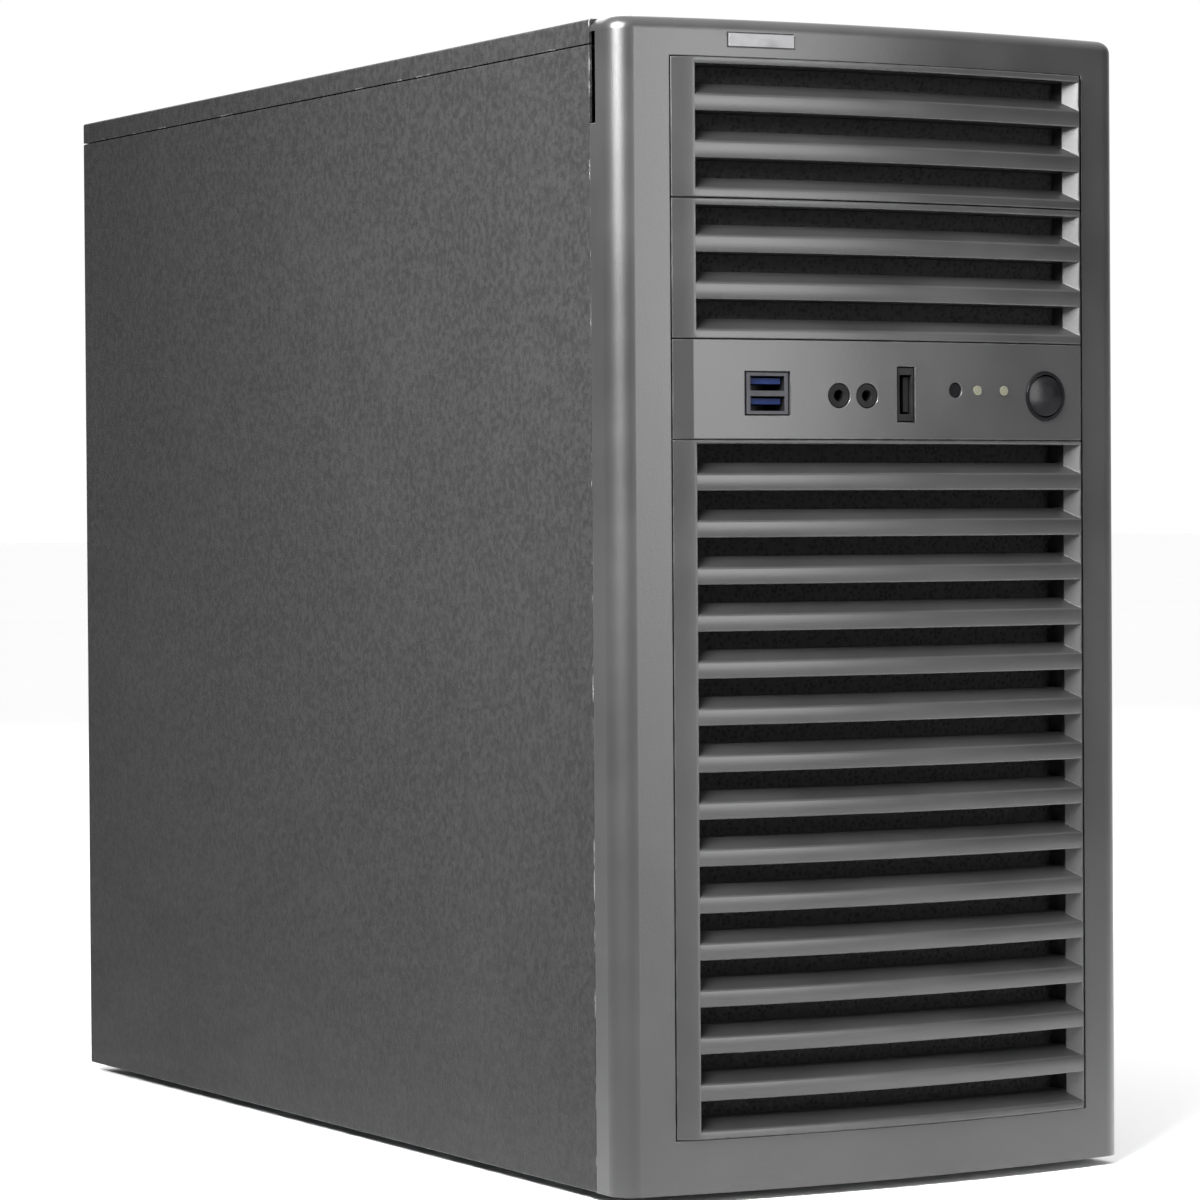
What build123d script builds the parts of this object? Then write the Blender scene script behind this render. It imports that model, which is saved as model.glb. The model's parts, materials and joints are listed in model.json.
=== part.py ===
"""Desktop computer tower: a mini-tower case with a louvred front and its working inside.

Millimetres, +Z up. The origin is at the centre of the footprint, on the floor. The front faces -Y and
+X is to the right of a person who faces the front. The left side panel (-X) slides off to the rear.
"""
from build123d import *
from math import radians, sqrt, tan
import os

# ---- Driving dimensions ------------------------------------------------------------------------
WIDTH = 186.0
HEIGHT = 362.0
DEPTH = 432.0
FOOT_HEIGHT = 3.0
SHEET = 1.0
GAP = 0.3
FRONT_BOW = 8.5
FIELD_PROUD = 1.5
BEZEL_SIDE_DEPTH = 14.4
SCREW_HEAD_LENGTH = 7.0
BAY_HEIGHT = 43.0
LOUVRES_PER_BAY = 3
TOP_LOUVRE_Z = 344.8
LOWER_LOUVRE_Z = 229.1
LOWER_LOUVRES = 15
SLOT_ABOVE = 3.0
SLOT_BELOW = 2.75
SLOT_LIP = 6.2
SLOT_DEPTH = 12.0
SLOPE_DEPTH = 5.5
SLOT_END_BEVEL = 4.2

# ---- Planes worked out from them ---------------------------------------------------------------
SIDE = WIDTH / 2
FRONT = -DEPTH / 2
LOUVRE_PITCH = BAY_HEIGHT / LOUVRES_PER_BAY
BEZEL_APEX = FRONT + FIELD_PROUD
CORNER_Y = BEZEL_APEX + FRONT_BOW
BOW_RADIUS = (SIDE ** 2 + FRONT_BOW ** 2) / (2 * FRONT_BOW)
FIELD_RADIUS = BOW_RADIUS + FIELD_PROUD
BOW_CENTRE_Y = BEZEL_APEX + BOW_RADIUS
BEZEL_BACK = CORNER_Y + BEZEL_SIDE_DEPTH
PANEL_FRONT = BEZEL_BACK + GAP
PANEL_REAR = DEPTH / 2 - SCREW_HEAD_LENGTH - GAP
WALL_REAR = PANEL_REAR - SHEET - GAP
INNER_REAR = WALL_REAR - SHEET - 0.2
WALL_FRONT = BEZEL_BACK + 1.0
INNER_FRONT = WALL_FRONT + SHEET + 0.2
BODY_BOTTOM = FOOT_HEIGHT
PAN_TOP = BODY_BOTTOM + SHEET
INSIDE_BOTTOM = PAN_TOP + 0.2
INSIDE_TOP = HEIGHT - SHEET - 0.2
CHASSIS_SIDE = 83.0
LID_FOLD_Z = HEIGHT - 7.5
PANEL_TOP = LID_FOLD_Z - GAP

# ---- Louvre field and front panel --------------------------------------------------------------
FIELD_X = (-74.5, 76.5)
SLOT_X = (-67.5, 75.0)
BEZEL_WALL = 2.2
CLIP_HALF_WIDTH = 2.3
CLIP_REACH = 4.4
FIELD_DEPTH = 14.0
FIELD_GAP = 0.5
BAY_RIM = 5.2
GRILLE_TOP = LOWER_LOUVRE_Z + SLOT_ABOVE + 1.2
GRILLE_BOTTOM = LOWER_LOUVRE_Z - (LOWER_LOUVRES - 1) * LOUVRE_PITCH - SLOT_LIP - 2.5
BAYS_TOP = TOP_LOUVRE_Z + BAY_RIM
BAYS_MIDDLE = BAYS_TOP - BAY_HEIGHT
BAYS_BOTTOM = BAYS_MIDDLE - BAY_HEIGHT
BADGE_X = (-55.6, -33.4)
BADGE_Z = (353.4, 357.4)
IO_Z = 247.5
FASCIA_WALL = 2.5
USB_X = -43.8
JACK_X = (-19.0, -9.0)
JACK_Z = 247.0
UPRIGHT_X = 5.3
RESET_X = 24.0
LAMP_X = (32.5, 43.0)
LAMP_Z = 249.0
POWER_X = 60.0
POWER_RADIUS = 6.5
RESET_RADIUS = 2.1
SWITCH_HEIGHT = 3.6
JACK_BORE = 1.8
BUTTON_DOME_RADIUS = 30.0
BUTTON_STEM_RADIUS = 2.4
RING_RADIUS = 7.9
PORT_BOARD_Y = (FRONT + 19.0, FRONT + 20.6)
PORT_BOARD_X = (-62.0, 72.0)
PORT_BOARD_Z = (236.5, 261.0)
POST_X = (-58.0, 68.0)
POST_Z = (240.0, 257.5)
BUTTON_TRAVEL = 2.5
RESET_TRAVEL = 1.2
BUTTON_CLEARANCE = 0.35

# ---- Inside ------------------------------------------------------------------------------------
BOARD = 244.0
BOARD_THICKNESS = 1.6
BOARD_FACE_X = 74.4
BOARD_BOTTOM = 14.0
BOARD_REAR = INNER_REAR - 0.7
BOARD_FRONT = BOARD_REAR - BOARD
TRAY_X = 81.0
SUPPLY = (150.0, 140.0, 86.0)
SUPPLY_BOTTOM = 266.0
SUPPLY_FRONT = INNER_REAR - SUPPLY[1]
SUPPLY_MIDDLE_Z = SUPPLY_BOTTOM + SUPPLY[2] / 2
CARD_PITCH = 20.32
CARD_SLOTS = 4
CARD_SLOT_Z = 20.0
CARD_SLOT_X = (-24.0, 70.0)
SHIELD_X = (33.4, 77.4)
SHIELD_Z = (96.0, 254.8)
FRONT_CABLE_X = 60.0
FRONT_CABLE_Z = 240.0
REAR_PORT_Z = (112.5, 133.5, 231.0)
REAR_FAN = (92.0, 25.0)
REAR_FAN_CENTRE = (-22.0, 192.0)
SUPPLY_FAN_CENTRE = (28.0, SUPPLY_MIDDLE_Z)
SUPPLY_FAN = (80.0, 15.0)
INLET_X = -44.0
INLET_Z = 292.0
SWITCH_Z = 328.0
HEATSINK_CENTRE = (122.0, 196.0)
HEATSINK = (78.0, 40.0)
HEATSINK_FINS = 18
SOCKET = (44.0, 5.8)
CHIPSET_CENTRE = (20.0, 72.0)
CHIPSET_FINS = 9
CAN = (4.0, 12.0)
MEMORY_SOCKET_Z = (112.0, 252.0)
CARD_SOCKET_LENGTHS = (89.0, 25.0, 85.0, 85.0)
COOLER_FAN = (70.0, 15.0)
MEMORY_Y = (29.0, 20.0, 11.0, 2.0)
DRIVE = (101.6, 147.0, 26.1)
DRIVE_FRONT = -180.0
DRIVE_Z = (22.0, 68.0)
THUMBSCREW_X = -79.5
THUMBSCREW_Z = (330.0, 42.0)
THUMBSCREW_RADIUS = 6.5
SCREW_SHANK = 1.7
PAN_HEAD = (3.2, 2.0)
FOOT_X = 60.0
FOOT_Y = (-160.0, 172.0)


# ---- Small helpers -----------------------------------------------------------------------------
def block(x, y, z):
    """A box between two values on each axis."""
    box = Box(x[1] - x[0], y[1] - y[0], z[1] - z[0], align=(Align.MIN, Align.MIN, Align.MIN))
    return Pos(x[0], y[0], z[0]) * box


def rod(start, direction, radius, length):
    """A cylinder from a start point along a direction."""
    cylinder = Cylinder(radius, length, align=(Align.CENTER, Align.CENTER, Align.MIN))
    return Plane(origin=start, z_dir=direction) * cylinder


def tube(start, direction, outer, inner, length):
    """A cylinder with a bore right through."""
    return rod(start, direction, outer, length) - rod(start, direction, inner, length)


def bowed(radius, z):
    """A tall cylinder whose front is the bowed front surface, for cutting pieces to the bow."""
    cylinder = Cylinder(radius, z[1] - z[0], align=(Align.CENTER, Align.CENTER, Align.MIN))
    return Pos(0, BOW_CENTRE_Y, z[0]) * cylinder


def bow_y(x, radius=FIELD_RADIUS):
    """Y of the bowed surface at a given X."""
    return BOW_CENTRE_Y - sqrt(radius ** 2 - x ** 2)


def cable(points, diameter):
    """A tube of straight runs joined by arcs as large as the runs allow."""
    runs = [points[i + 1] - points[i] for i in range(len(points) - 1)]
    radii = []
    for before, after in zip(runs[:-1], runs[1:]):
        half_turn = radians(before.get_angle(after) / 2)
        radii.append(0.45 * min(before.length, after.length) / tan(half_turn))
    path = FilletPolyline(*points, radius=radii)
    section = Plane(origin=path @ 0, z_dir=path % 0) * Circle(diameter / 2)
    return sweep(section, path=path)


def save(shape, node):
    """Write one node."""
    export_step(shape, f"parts/{node}.step")


# ---- Chassis sheet metal -----------------------------------------------------------------------
def base_pan():
    side = CHASSIS_SIDE
    pan = block((-side, side), (WALL_FRONT + SHEET + 0.2, INNER_REAR), (BODY_BOTTOM, PAN_TOP))
    for left in (-side, side - SHEET):
        pan += block((left, left + SHEET), (INNER_FRONT, INNER_REAR), (PAN_TOP, PAN_TOP + 8))
    for x in (-FOOT_X, FOOT_X):
        for y in FOOT_Y:
            pan -= rod((x, y, 0), (0, 0, 1), 3.2, 10)
    return pan


def fan_opening(centre, y, radius):
    """The round opening of a fan in a wall across Y."""
    return rod((centre[0], y, centre[1]), (0, 1, 0), radius, 3 * SHEET)


def card_slot_opening(index):
    z = CARD_SLOT_Z + index * CARD_PITCH
    return block(CARD_SLOT_X, (WALL_REAR - 3, WALL_REAR + 3), (z - 6.5, z + 6.5))


def rear_wall():
    y = (WALL_REAR - SHEET, WALL_REAR)
    through = (y[0] - 2, y[1] + 2)
    wall = block((-CHASSIS_SIDE, CHASSIS_SIDE), y, (BODY_BOTTOM, INSIDE_TOP))
    wall -= block((-SUPPLY[0] / 2 + 5, SUPPLY[0] / 2 - 5), through, (SUPPLY_BOTTOM + 5, SUPPLY_BOTTOM + 81))
    wall -= block((SHIELD_X[0] - 0.2, SHIELD_X[1] + 0.2), through, (SHIELD_Z[0] - 0.2, SHIELD_Z[1] + 0.2))
    wall -= fan_opening(REAR_FAN_CENTRE, through[0], REAR_FAN[0] / 2 - 2)
    for index in range(CARD_SLOTS):
        wall -= card_slot_opening(index)
    for z in THUMBSCREW_Z:
        wall -= rod((THUMBSCREW_X, through[0], z), (0, 1, 0), SCREW_SHANK + 0.5, 6)
        wall -= rod((-THUMBSCREW_X, through[0], z), (0, 1, 0), SCREW_SHANK, 6)
    for x, z in supply_screw_places():
        wall -= rod((x, through[0], z), (0, 1, 0), SCREW_SHANK, 6)
    for x, z in fan_screw_places():
        wall -= rod((x, through[0], z), (0, 1, 0), SCREW_SHANK, 6)
    for row in range(4):
        for column in range(6):
            x = -70 + column * 9
            z = 112 + row * 9
            wall -= rod((x, through[0], z), (0, 1, 0), 2.8, 6)
    return wall


def front_wall():
    y = (WALL_FRONT, WALL_FRONT + SHEET)
    through = (y[0] - 2, y[1] + 2)
    wall = block((-CHASSIS_SIDE, CHASSIS_SIDE), y, (BODY_BOTTOM, INSIDE_TOP))
    for bottom in (BAYS_BOTTOM + 2, BAYS_MIDDLE + 2):
        wall -= block((-74.5, 74.5), through, (bottom, bottom + BAY_HEIGHT - 4))
    for x in ((-70, -3), (3, 70)):
        wall -= block(x, through, (24, 212))
    wall -= rod((FRONT_CABLE_X, through[0], FRONT_CABLE_Z), (0, 1, 0), 5, 6)
    for x, z in clip_places():
        wall -= block((x - CLIP_HALF_WIDTH - 0.8, x + CLIP_HALF_WIDTH + 0.8), through, (z - 2.3, z + 2.3))
    return wall


def board_tray():
    y = (BOARD_FRONT - 12, INNER_REAR)
    tray = block((TRAY_X, TRAY_X + SHEET), y, (PAN_TOP + 8.5, BOARD_BOTTOM + BOARD + 6))
    cooler_y, cooler_z = HEATSINK_CENTRE
    tray -= block((TRAY_X - 2, TRAY_X + 3), (cooler_y - 45, cooler_y + 45), (cooler_z - 40, cooler_z + 40))
    tray -= block((TRAY_X - 2, TRAY_X + 3), (BOARD_FRONT + 6, BOARD_FRONT + 30), (60, 230))
    for z in (30, 246):
        for y in (BOARD_FRONT - 6, 90):
            tray -= rod((TRAY_X - 2, y, z), (1, 0, 0), 5, 6)
    return tray


def top_cover():
    cover = block((-SIDE, SIDE), (PANEL_FRONT, PANEL_REAR), (LID_FOLD_Z, HEIGHT))
    cover -= block((-SIDE + SHEET, SIDE - SHEET), (PANEL_FRONT - 1, PANEL_REAR - SHEET), (0, HEIGHT - SHEET))
    long_edges = cover.edges().filter_by(Axis.Y).filter_by(lambda e: e.center().Z > HEIGHT - 0.1)
    return fillet(long_edges, 0.9)


def side_panel(sign):
    """A flat sheet with inward hems; sign is -1 for the left panel and +1 for the right."""
    outer = SIDE
    y = (PANEL_FRONT, PANEL_REAR)
    z = (BODY_BOTTOM, PANEL_TOP)
    sheet = block((outer - SHEET, outer), y, z)
    for low in (z[0], z[1] - SHEET):
        sheet += block((outer - 8, outer), (y[0] + 2, WALL_REAR - 4), (low, low + SHEET))
    sheet += block((outer - 17, outer), (PANEL_REAR - SHEET, PANEL_REAR), z)
    for height in THUMBSCREW_Z:
        sheet -= rod((-THUMBSCREW_X, PANEL_REAR - 3, height), (0, 1, 0), SCREW_SHANK + 0.5, 6)
    outline = sheet.edges().filter_by(Axis.Y).filter_by(lambda e: e.center().X > outer - 0.1)
    sheet = fillet(outline, 0.6)
    if sign < 0:
        sheet = mirror(sheet, about=Plane.YZ)
    return sheet


# ---- Front bezel and the pieces in its face ----------------------------------------------------
def clip_places():
    """Centres of the six snap tabs that hold the bezel on the front wall."""
    return [(x, z) for x in (-80.0, 80.9) for z in (40.0, 180.0, 318.0)]


def field_piece(z, depth):
    """A block of the louvre field, cut to the bow, with its left edge bevelled back."""
    piece = block(FIELD_X, (FRONT - 1, FRONT + 40), z) & bowed(FIELD_RADIUS, (0, HEIGHT))
    back = bowed(FIELD_RADIUS - depth, (0, HEIGHT))
    piece -= back
    for edge, inward in ((FIELD_X[0], 6.0), (FIELD_X[1], -1.5)):
        wedge = Polyline(
            (edge, bow_y(edge) + 1.6),
            (edge + inward, bow_y(edge + inward)),
            (edge + inward, FRONT - 3),
            (edge - inward / 6, FRONT - 3),
            (edge - inward / 6, bow_y(edge) + 1.6),
            close=True,
        )
        piece -= Pos(0, 0, z[0] - 1) * extrude(make_face(wedge), z[1] - z[0] + 2)
    return piece


def louvre_cuts(top_z, count, depth):
    """Slots one below the other, following the bow.

    The floor of each slopes up and back from its lip, and its right end is bevelled.
    """
    radius = FIELD_RADIUS
    section = Polyline(
        (radius + 3, SLOT_ABOVE + 0.4),
        (radius, SLOT_ABOVE + 0.4),
        (radius - 0.7, SLOT_ABOVE),
        (radius - depth, SLOT_ABOVE),
        (radius - depth, -SLOT_BELOW),
        (radius - SLOPE_DEPTH, -SLOT_BELOW),
        (radius - 0.6, -SLOT_LIP + 0.3),
        (radius, -SLOT_LIP - 0.3),
        (radius + 3, -SLOT_LIP - 0.3),
        close=True,
    )
    plane = Plane(origin=(0, BOW_CENTRE_Y, 0), x_dir=(0, -1, 0), z_dir=(-1, 0, 0))
    ring = revolve(plane * make_face(section), axis=Axis((0, BOW_CENTRE_Y, 0), (0, 0, 1)))
    slot = ring & block(SLOT_X, (FRONT - 4, FRONT + 40), (-SLOT_LIP - 1, SLOT_ABOVE + 1))
    end_y = bow_y(SLOT_X[1])
    inner_end = SLOT_X[1] - SLOT_END_BEVEL
    bevelled_end = Polyline(
        (SLOT_X[1] + 0.5, end_y - 0.5),
        (inner_end, end_y + SLOT_END_BEVEL),
        (inner_end, FRONT + 41),
        (SLOT_X[1] + 0.5, FRONT + 41),
        close=True,
    )
    slot -= Pos(0, 0, -SLOT_LIP - 2) * extrude(make_face(bevelled_end), SLOT_LIP + SLOT_ABOVE + 4)
    return [Pos(0, 0, top_z - index * LOUVRE_PITCH) * slot for index in range(count)]


def bay_cover(top):
    cover = field_piece((top - BAY_HEIGHT + GAP / 2, top - GAP / 2), FIELD_DEPTH)
    cover -= louvre_cuts(top - BAY_RIM, LOUVRES_PER_BAY, SLOT_DEPTH)
    return cover


def bezel_grille():
    grille = field_piece((GRILLE_BOTTOM, GRILLE_TOP), SLOT_DEPTH)
    grille -= louvre_cuts(LOWER_LOUVRE_Z, LOWER_LOUVRES, SLOT_DEPTH + 3)
    return grille


def dust_filter():
    z = (GRILLE_BOTTOM + 1, GRILLE_TOP - 1)
    sheet = block((FIELD_X[0] + 1, FIELD_X[1] - 1), (FRONT - 1, FRONT + 36), z)
    sheet &= bowed(FIELD_RADIUS - SLOT_DEPTH - 0.1, (0, HEIGHT))
    return sheet - bowed(FIELD_RADIUS - SLOT_DEPTH - 3.1, (0, HEIGHT))


def io_fascia():
    fascia = field_piece((GRILLE_TOP + GAP, BAYS_BOTTOM - GAP / 2), FASCIA_WALL)
    through = (FRONT - 2, FRONT + 20)
    fascia -= block((USB_X - 7.8, USB_X + 7.8), through, (IO_Z - 6.8, IO_Z + 6.8))
    fascia -= block((UPRIGHT_X - 3.3, UPRIGHT_X + 3.3), through, (IO_Z - 8.7, IO_Z + 8.7))
    for x in JACK_X:
        fascia -= rod((x, through[0], JACK_Z), (0, 1, 0), 3.9, 22)
    for x in LAMP_X:
        fascia -= rod((x, through[0], LAMP_Z), (0, 1, 0), 1.6, 22)
    fascia -= rod((RESET_X, through[0], LAMP_Z), (0, 1, 0), RESET_RADIUS + BUTTON_CLEARANCE, 22)
    fascia -= rod((POWER_X, through[0], IO_Z), (0, 1, 0), RING_RADIUS, 22)
    return fascia


def front_bezel():
    z = (BODY_BOTTOM, HEIGHT)
    outer = block((-SIDE, SIDE), (FRONT, BEZEL_BACK), z) & bowed(BOW_RADIUS, z)
    corners = outer.edges().filter_by(Axis.Z).filter_by(lambda e: e.center().Y < BEZEL_BACK - 5)
    outer = fillet(corners, 8.0)
    rims = outer.edges().filter_by(lambda e: e.center().Z > HEIGHT - 0.1 and e.center().Y < BEZEL_BACK - 1)
    outer = fillet(rims, 4.0)
    inside_x = SIDE - BEZEL_WALL
    inside_z = (z[0] + BEZEL_WALL, z[1] - BEZEL_WALL)
    hollow = block((-inside_x, inside_x), (FRONT, BEZEL_BACK + 1), inside_z)
    hollow &= bowed(BOW_RADIUS - BEZEL_WALL, inside_z)
    hollow_corners = hollow.edges().filter_by(Axis.Z).filter_by(lambda e: e.center().Y < BEZEL_BACK - 5)
    hollow = fillet(hollow_corners, 8.0 - BEZEL_WALL)
    shell = outer - hollow
    window_x = (FIELD_X[0] - FIELD_GAP, FIELD_X[1] + FIELD_GAP)
    window_z = (GRILLE_BOTTOM - GAP, BAYS_TOP + GAP / 2)
    shell -= block(window_x, (FRONT - 5, BEZEL_BACK + 5), window_z)
    for side in (window_x[0] - 2, window_x[1]):
        rail = block((side, side + 2), (CORNER_Y - 2, BEZEL_BACK), window_z)
        shell += rail
    shell -= block((-SIDE - 1, -SIDE + 4), (BEZEL_BACK - 3.5, BEZEL_BACK + 1), (330, 358))
    recess = block((BADGE_X[0] - GAP, BADGE_X[1] + GAP), (FRONT - 2, CORNER_Y),
                   (BADGE_Z[0] - GAP, BADGE_Z[1] + GAP))
    shell -= recess - bowed(BOW_RADIUS - 0.5, z)
    for x, height in clip_places():
        tab_x = (x - CLIP_HALF_WIDTH, x + CLIP_HALF_WIDTH)
        shell += block(tab_x, (CORNER_Y + 1, BEZEL_BACK + CLIP_REACH), (height - 1.5, height + 1.5))
    return shell


def badge_plate():
    plate = block(BADGE_X, (FRONT, FRONT + 12), BADGE_Z) & bowed(BOW_RADIUS + 0.4, (0, HEIGHT))
    return plate - bowed(BOW_RADIUS - 0.4, (0, HEIGHT))


def power_button_ring():
    ring = rod((POWER_X, FRONT, IO_Z), (0, 1, 0), RING_RADIUS - 0.05, 12)
    ring &= bowed(FIELD_RADIUS + 0.5, (0, HEIGHT))
    ring -= bowed(FIELD_RADIUS - 5, (0, HEIGHT))
    ring -= rod((POWER_X, FRONT - 1, IO_Z), (0, 1, 0), POWER_RADIUS + BUTTON_CLEARANCE, 20)
    return ring


def lamp_lenses():
    lenses = Part()
    for x in LAMP_X:
        lens = rod((x, FRONT, LAMP_Z), (0, 1, 0), 1.55, 16) & bowed(FIELD_RADIUS + 0.3, (0, HEIGHT))
        lenses += lens - bowed(FIELD_RADIUS - 6, (0, HEIGHT))
    return lenses


# ---- Front ports and buttons, held on the chassis ----------------------------------------------
def power_button():
    """A domed cap on a stem that ends short of its switch by the button's travel."""
    crown = bow_y(POWER_X) - 0.7
    cap = rod((POWER_X, crown, IO_Z), (0, 1, 0), POWER_RADIUS, 4.7)
    cap &= Pos(POWER_X, crown + BUTTON_DOME_RADIUS, IO_Z) * Sphere(BUTTON_DOME_RADIUS)
    cap = fillet(cap.edges().filter_by(GeomType.CIRCLE).sort_by(Axis.Y)[0], 0.5)
    stem_end = PORT_BOARD_Y[0] - SWITCH_HEIGHT - BUTTON_TRAVEL
    stem_start = crown + 4
    return cap + rod((POWER_X, stem_start, IO_Z), (0, 1, 0), BUTTON_STEM_RADIUS, stem_end - stem_start)


def reset_button():
    start = bow_y(RESET_X) + 0.6
    length = PORT_BOARD_Y[0] - SWITCH_HEIGHT - RESET_TRAVEL - start
    return rod((RESET_X, start, LAMP_Z), (0, 1, 0), RESET_RADIUS, length)


def button_switches():
    """The small square switches that the plungers press."""
    switches = Part()
    for x, z in ((POWER_X, IO_Z), (RESET_X, LAMP_Z)):
        y = PORT_BOARD_Y[0]
        switches += block((x - 3, x + 3), (y - 2.8, y), (z - 3, z + 3))
        switches += rod((x, y - 3.3, z), (0, 1, 0), 1.6, 2)
    return switches


def front_port_board():
    board = block(PORT_BOARD_X, PORT_BOARD_Y, PORT_BOARD_Z)
    for x in POST_X:
        for z in POST_Z:
            board -= rod((x, PORT_BOARD_Y[0] - 1, z), (0, 1, 0), 1.6, 5)
    return board


def front_port_circuit():
    """The port board with its switches soldered on."""
    return front_port_board() + button_switches()


def front_port_posts():
    """Four posts that hold the port board on the front wall, each with its screw head."""
    posts = Part()
    for x in POST_X:
        for z in POST_Z:
            post = rod((x, PORT_BOARD_Y[1], z), (0, 1, 0), 3.0, WALL_FRONT - PORT_BOARD_Y[1])
            post += rod((x, PORT_BOARD_Y[0] - 0.2, z), (0, 1, 0), 1.5, 4)
            posts += post + rod((x, PORT_BOARD_Y[0] - 1.6, z), (0, 1, 0), 2.8, 1.6)
    return posts


def usb_openings(x, z, y, upright):
    """Inside of one flat serial port, without its tongue."""
    wide = (2.25, 6.1) if upright else (6.1, 2.25)
    return block((x - wide[0], x + wide[0]), (y - 1, y + 13), (z - wide[1], z + wide[1]))


def usb_front_shell():
    start = bow_y(USB_X) + 0.2
    shell = block((USB_X - 7.4, USB_X + 7.4), (start, PORT_BOARD_Y[0]), (IO_Z - 6.4, IO_Z + 6.4))
    for z in (IO_Z - 3.1, IO_Z + 3.1):
        shell -= usb_openings(USB_X, z, start, upright=False)
    return shell


def usb_front_tongues():
    start = bow_y(USB_X) + 1.6
    tongues = Part()
    for z in (IO_Z - 2.4, IO_Z + 3.8):
        tongues += block((USB_X - 5.4, USB_X + 5.4), (start, start + 11.4), (z - 0.9, z + 0.9))
    return tongues


def usb_front_upright():
    start = bow_y(UPRIGHT_X) + 0.3
    shell = block((UPRIGHT_X - 2.95, UPRIGHT_X + 2.95), (start, PORT_BOARD_Y[0]), (IO_Z - 8.3, IO_Z + 8.3))
    shell -= usb_openings(UPRIGHT_X, IO_Z, start, upright=True)
    tongue_x = UPRIGHT_X + 0.9
    tongue_y = (start + 1.4, start + 14)
    return shell + block((tongue_x - 0.9, tongue_x + 0.9), tongue_y, (IO_Z - 5.4, IO_Z + 5.4))


def audio_jacks():
    jacks = Part()
    for x in JACK_X:
        start = bow_y(x) + 0.2
        body = rod((x, start, JACK_Z), (0, 1, 0), 3.6, 4)
        body += block((x - 3.6, x + 3.6), (start + 3, PORT_BOARD_Y[0]), (JACK_Z - 5, JACK_Z + 4))
        jacks += body - rod((x, start - 1, JACK_Z), (0, 1, 0), JACK_BORE, 15)
    return jacks


# ---- Drive cages and drives --------------------------------------------------------------------
def drive_cage_525():
    y = (INNER_FRONT, -22)
    inner = 74.6
    cage = block((-inner - SHEET, inner + SHEET), y, (BAYS_BOTTOM - 2, BAYS_TOP))
    cage -= block((-inner, inner), (y[0] - 1, y[1] + 1), (BAYS_BOTTOM - 1, BAYS_TOP + 1))
    for z in (BAYS_BOTTOM + 12, BAYS_MIDDLE + 12):
        for start in (-165, -125, -85, -45):
            cage -= block((-inner - 3, inner + 3), (start, start + 18), (z, z + 4))
    cage -= block((-50, 50), (-160, -50), (BAYS_BOTTOM - 5, BAYS_BOTTOM + 5))
    return cage


def drive_cage_35():
    y = (INNER_FRONT, -40)
    inner = DRIVE[0] / 2 + 0.4
    cage = block((-inner - SHEET, inner + SHEET), y, (INSIDE_BOTTOM, 124))
    cage -= block((-inner, inner), (y[0] - 1, y[1] + 1), (INSIDE_BOTTOM + SHEET, 123))
    for z in DRIVE_Z:
        for start in (-160, -115, -70):
            cage -= block((-inner - 3, inner + 3), (start, start + 12), (z + 8, z + 12))
    return cage


def hard_drive(bottom):
    half = DRIVE[0] / 2
    y = (DRIVE_FRONT, DRIVE_FRONT + DRIVE[1])
    drive = block((-half, half), y, (bottom, bottom + DRIVE[2] - 3))
    drive += block((-half + 3, half - 3), (y[0] + 3, y[1] - 14), (bottom + 20, bottom + DRIVE[2]))
    drive -= block((-30, 30), (y[1] - 6, y[1] + 1), (bottom + 2, bottom + 9))
    upright = drive.edges().filter_by(Axis.Z)
    return fillet(upright.filter_by(lambda e: abs(e.center().X) > half - 0.1), 2.0)


# ---- Fans --------------------------------------------------------------------------------------
def fan_frame(plane, size, depth, hub_radius):
    """A square ducted frame; the motor mount and its four struts are at the plane's side."""
    bore = size / 2 - 2.5
    frame = Pos(0, 0, depth / 2) * Box(size, size, depth)
    frame = fillet(frame.edges().filter_by(Axis.Z), 4.0)
    frame -= Cylinder(bore, 3 * depth)
    mount = Pos(0, 0, 1.5) * Cylinder(hub_radius, 3)
    for angle in (45, 135, 225, 315):
        strut = Pos((bore + hub_radius) / 2, 0, 1.5) * Box(bore - hub_radius + 4, 4, 3)
        mount += Rot(0, 0, angle) * strut
    frame += mount
    corner = size / 2 - 5
    for x in (-corner, corner):
        for y in (-corner, corner):
            frame -= Pos(x, y, 0) * Cylinder(2.1, 3 * depth)
    return plane * frame


def fan_rotor(plane, size, depth, hub_radius, blades=7):
    """Hub and pitched blades, ahead of the motor mount."""
    tip = size / 2 - 4.0
    low = 4.0
    height = depth - low - 0.8
    middle = low + height / 2
    rotor = Pos(0, 0, middle) * Cylinder(hub_radius - 0.5, height)
    rotor = fillet(rotor.edges().sort_by(Axis.Z)[-1], 1.5)
    blade_length = tip - hub_radius + 4
    for index in range(blades):
        blade = Rot(38, 0, 0) * Box(blade_length, (tip + hub_radius) * 0.5, 1.4)
        blade = Rot(0, 0, index * 360 / blades) * Pos(hub_radius - 3 + blade_length / 2, 0, middle) * blade
        rotor += blade & (Pos(0, 0, middle) * Cylinder(tip, height))
    return plane * rotor


def wire_guard(plane, radii, wire=0.9):
    """Concentric wire rings on two crossing spokes."""
    guard = Part()
    for radius in radii:
        guard += Torus(radius, wire)
    for angle in (45, 135):
        guard += Rot(0, 0, angle) * Rot(0, 90, 0) * Cylinder(wire, 2 * radii[-1] + 10)
    return plane * guard


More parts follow.
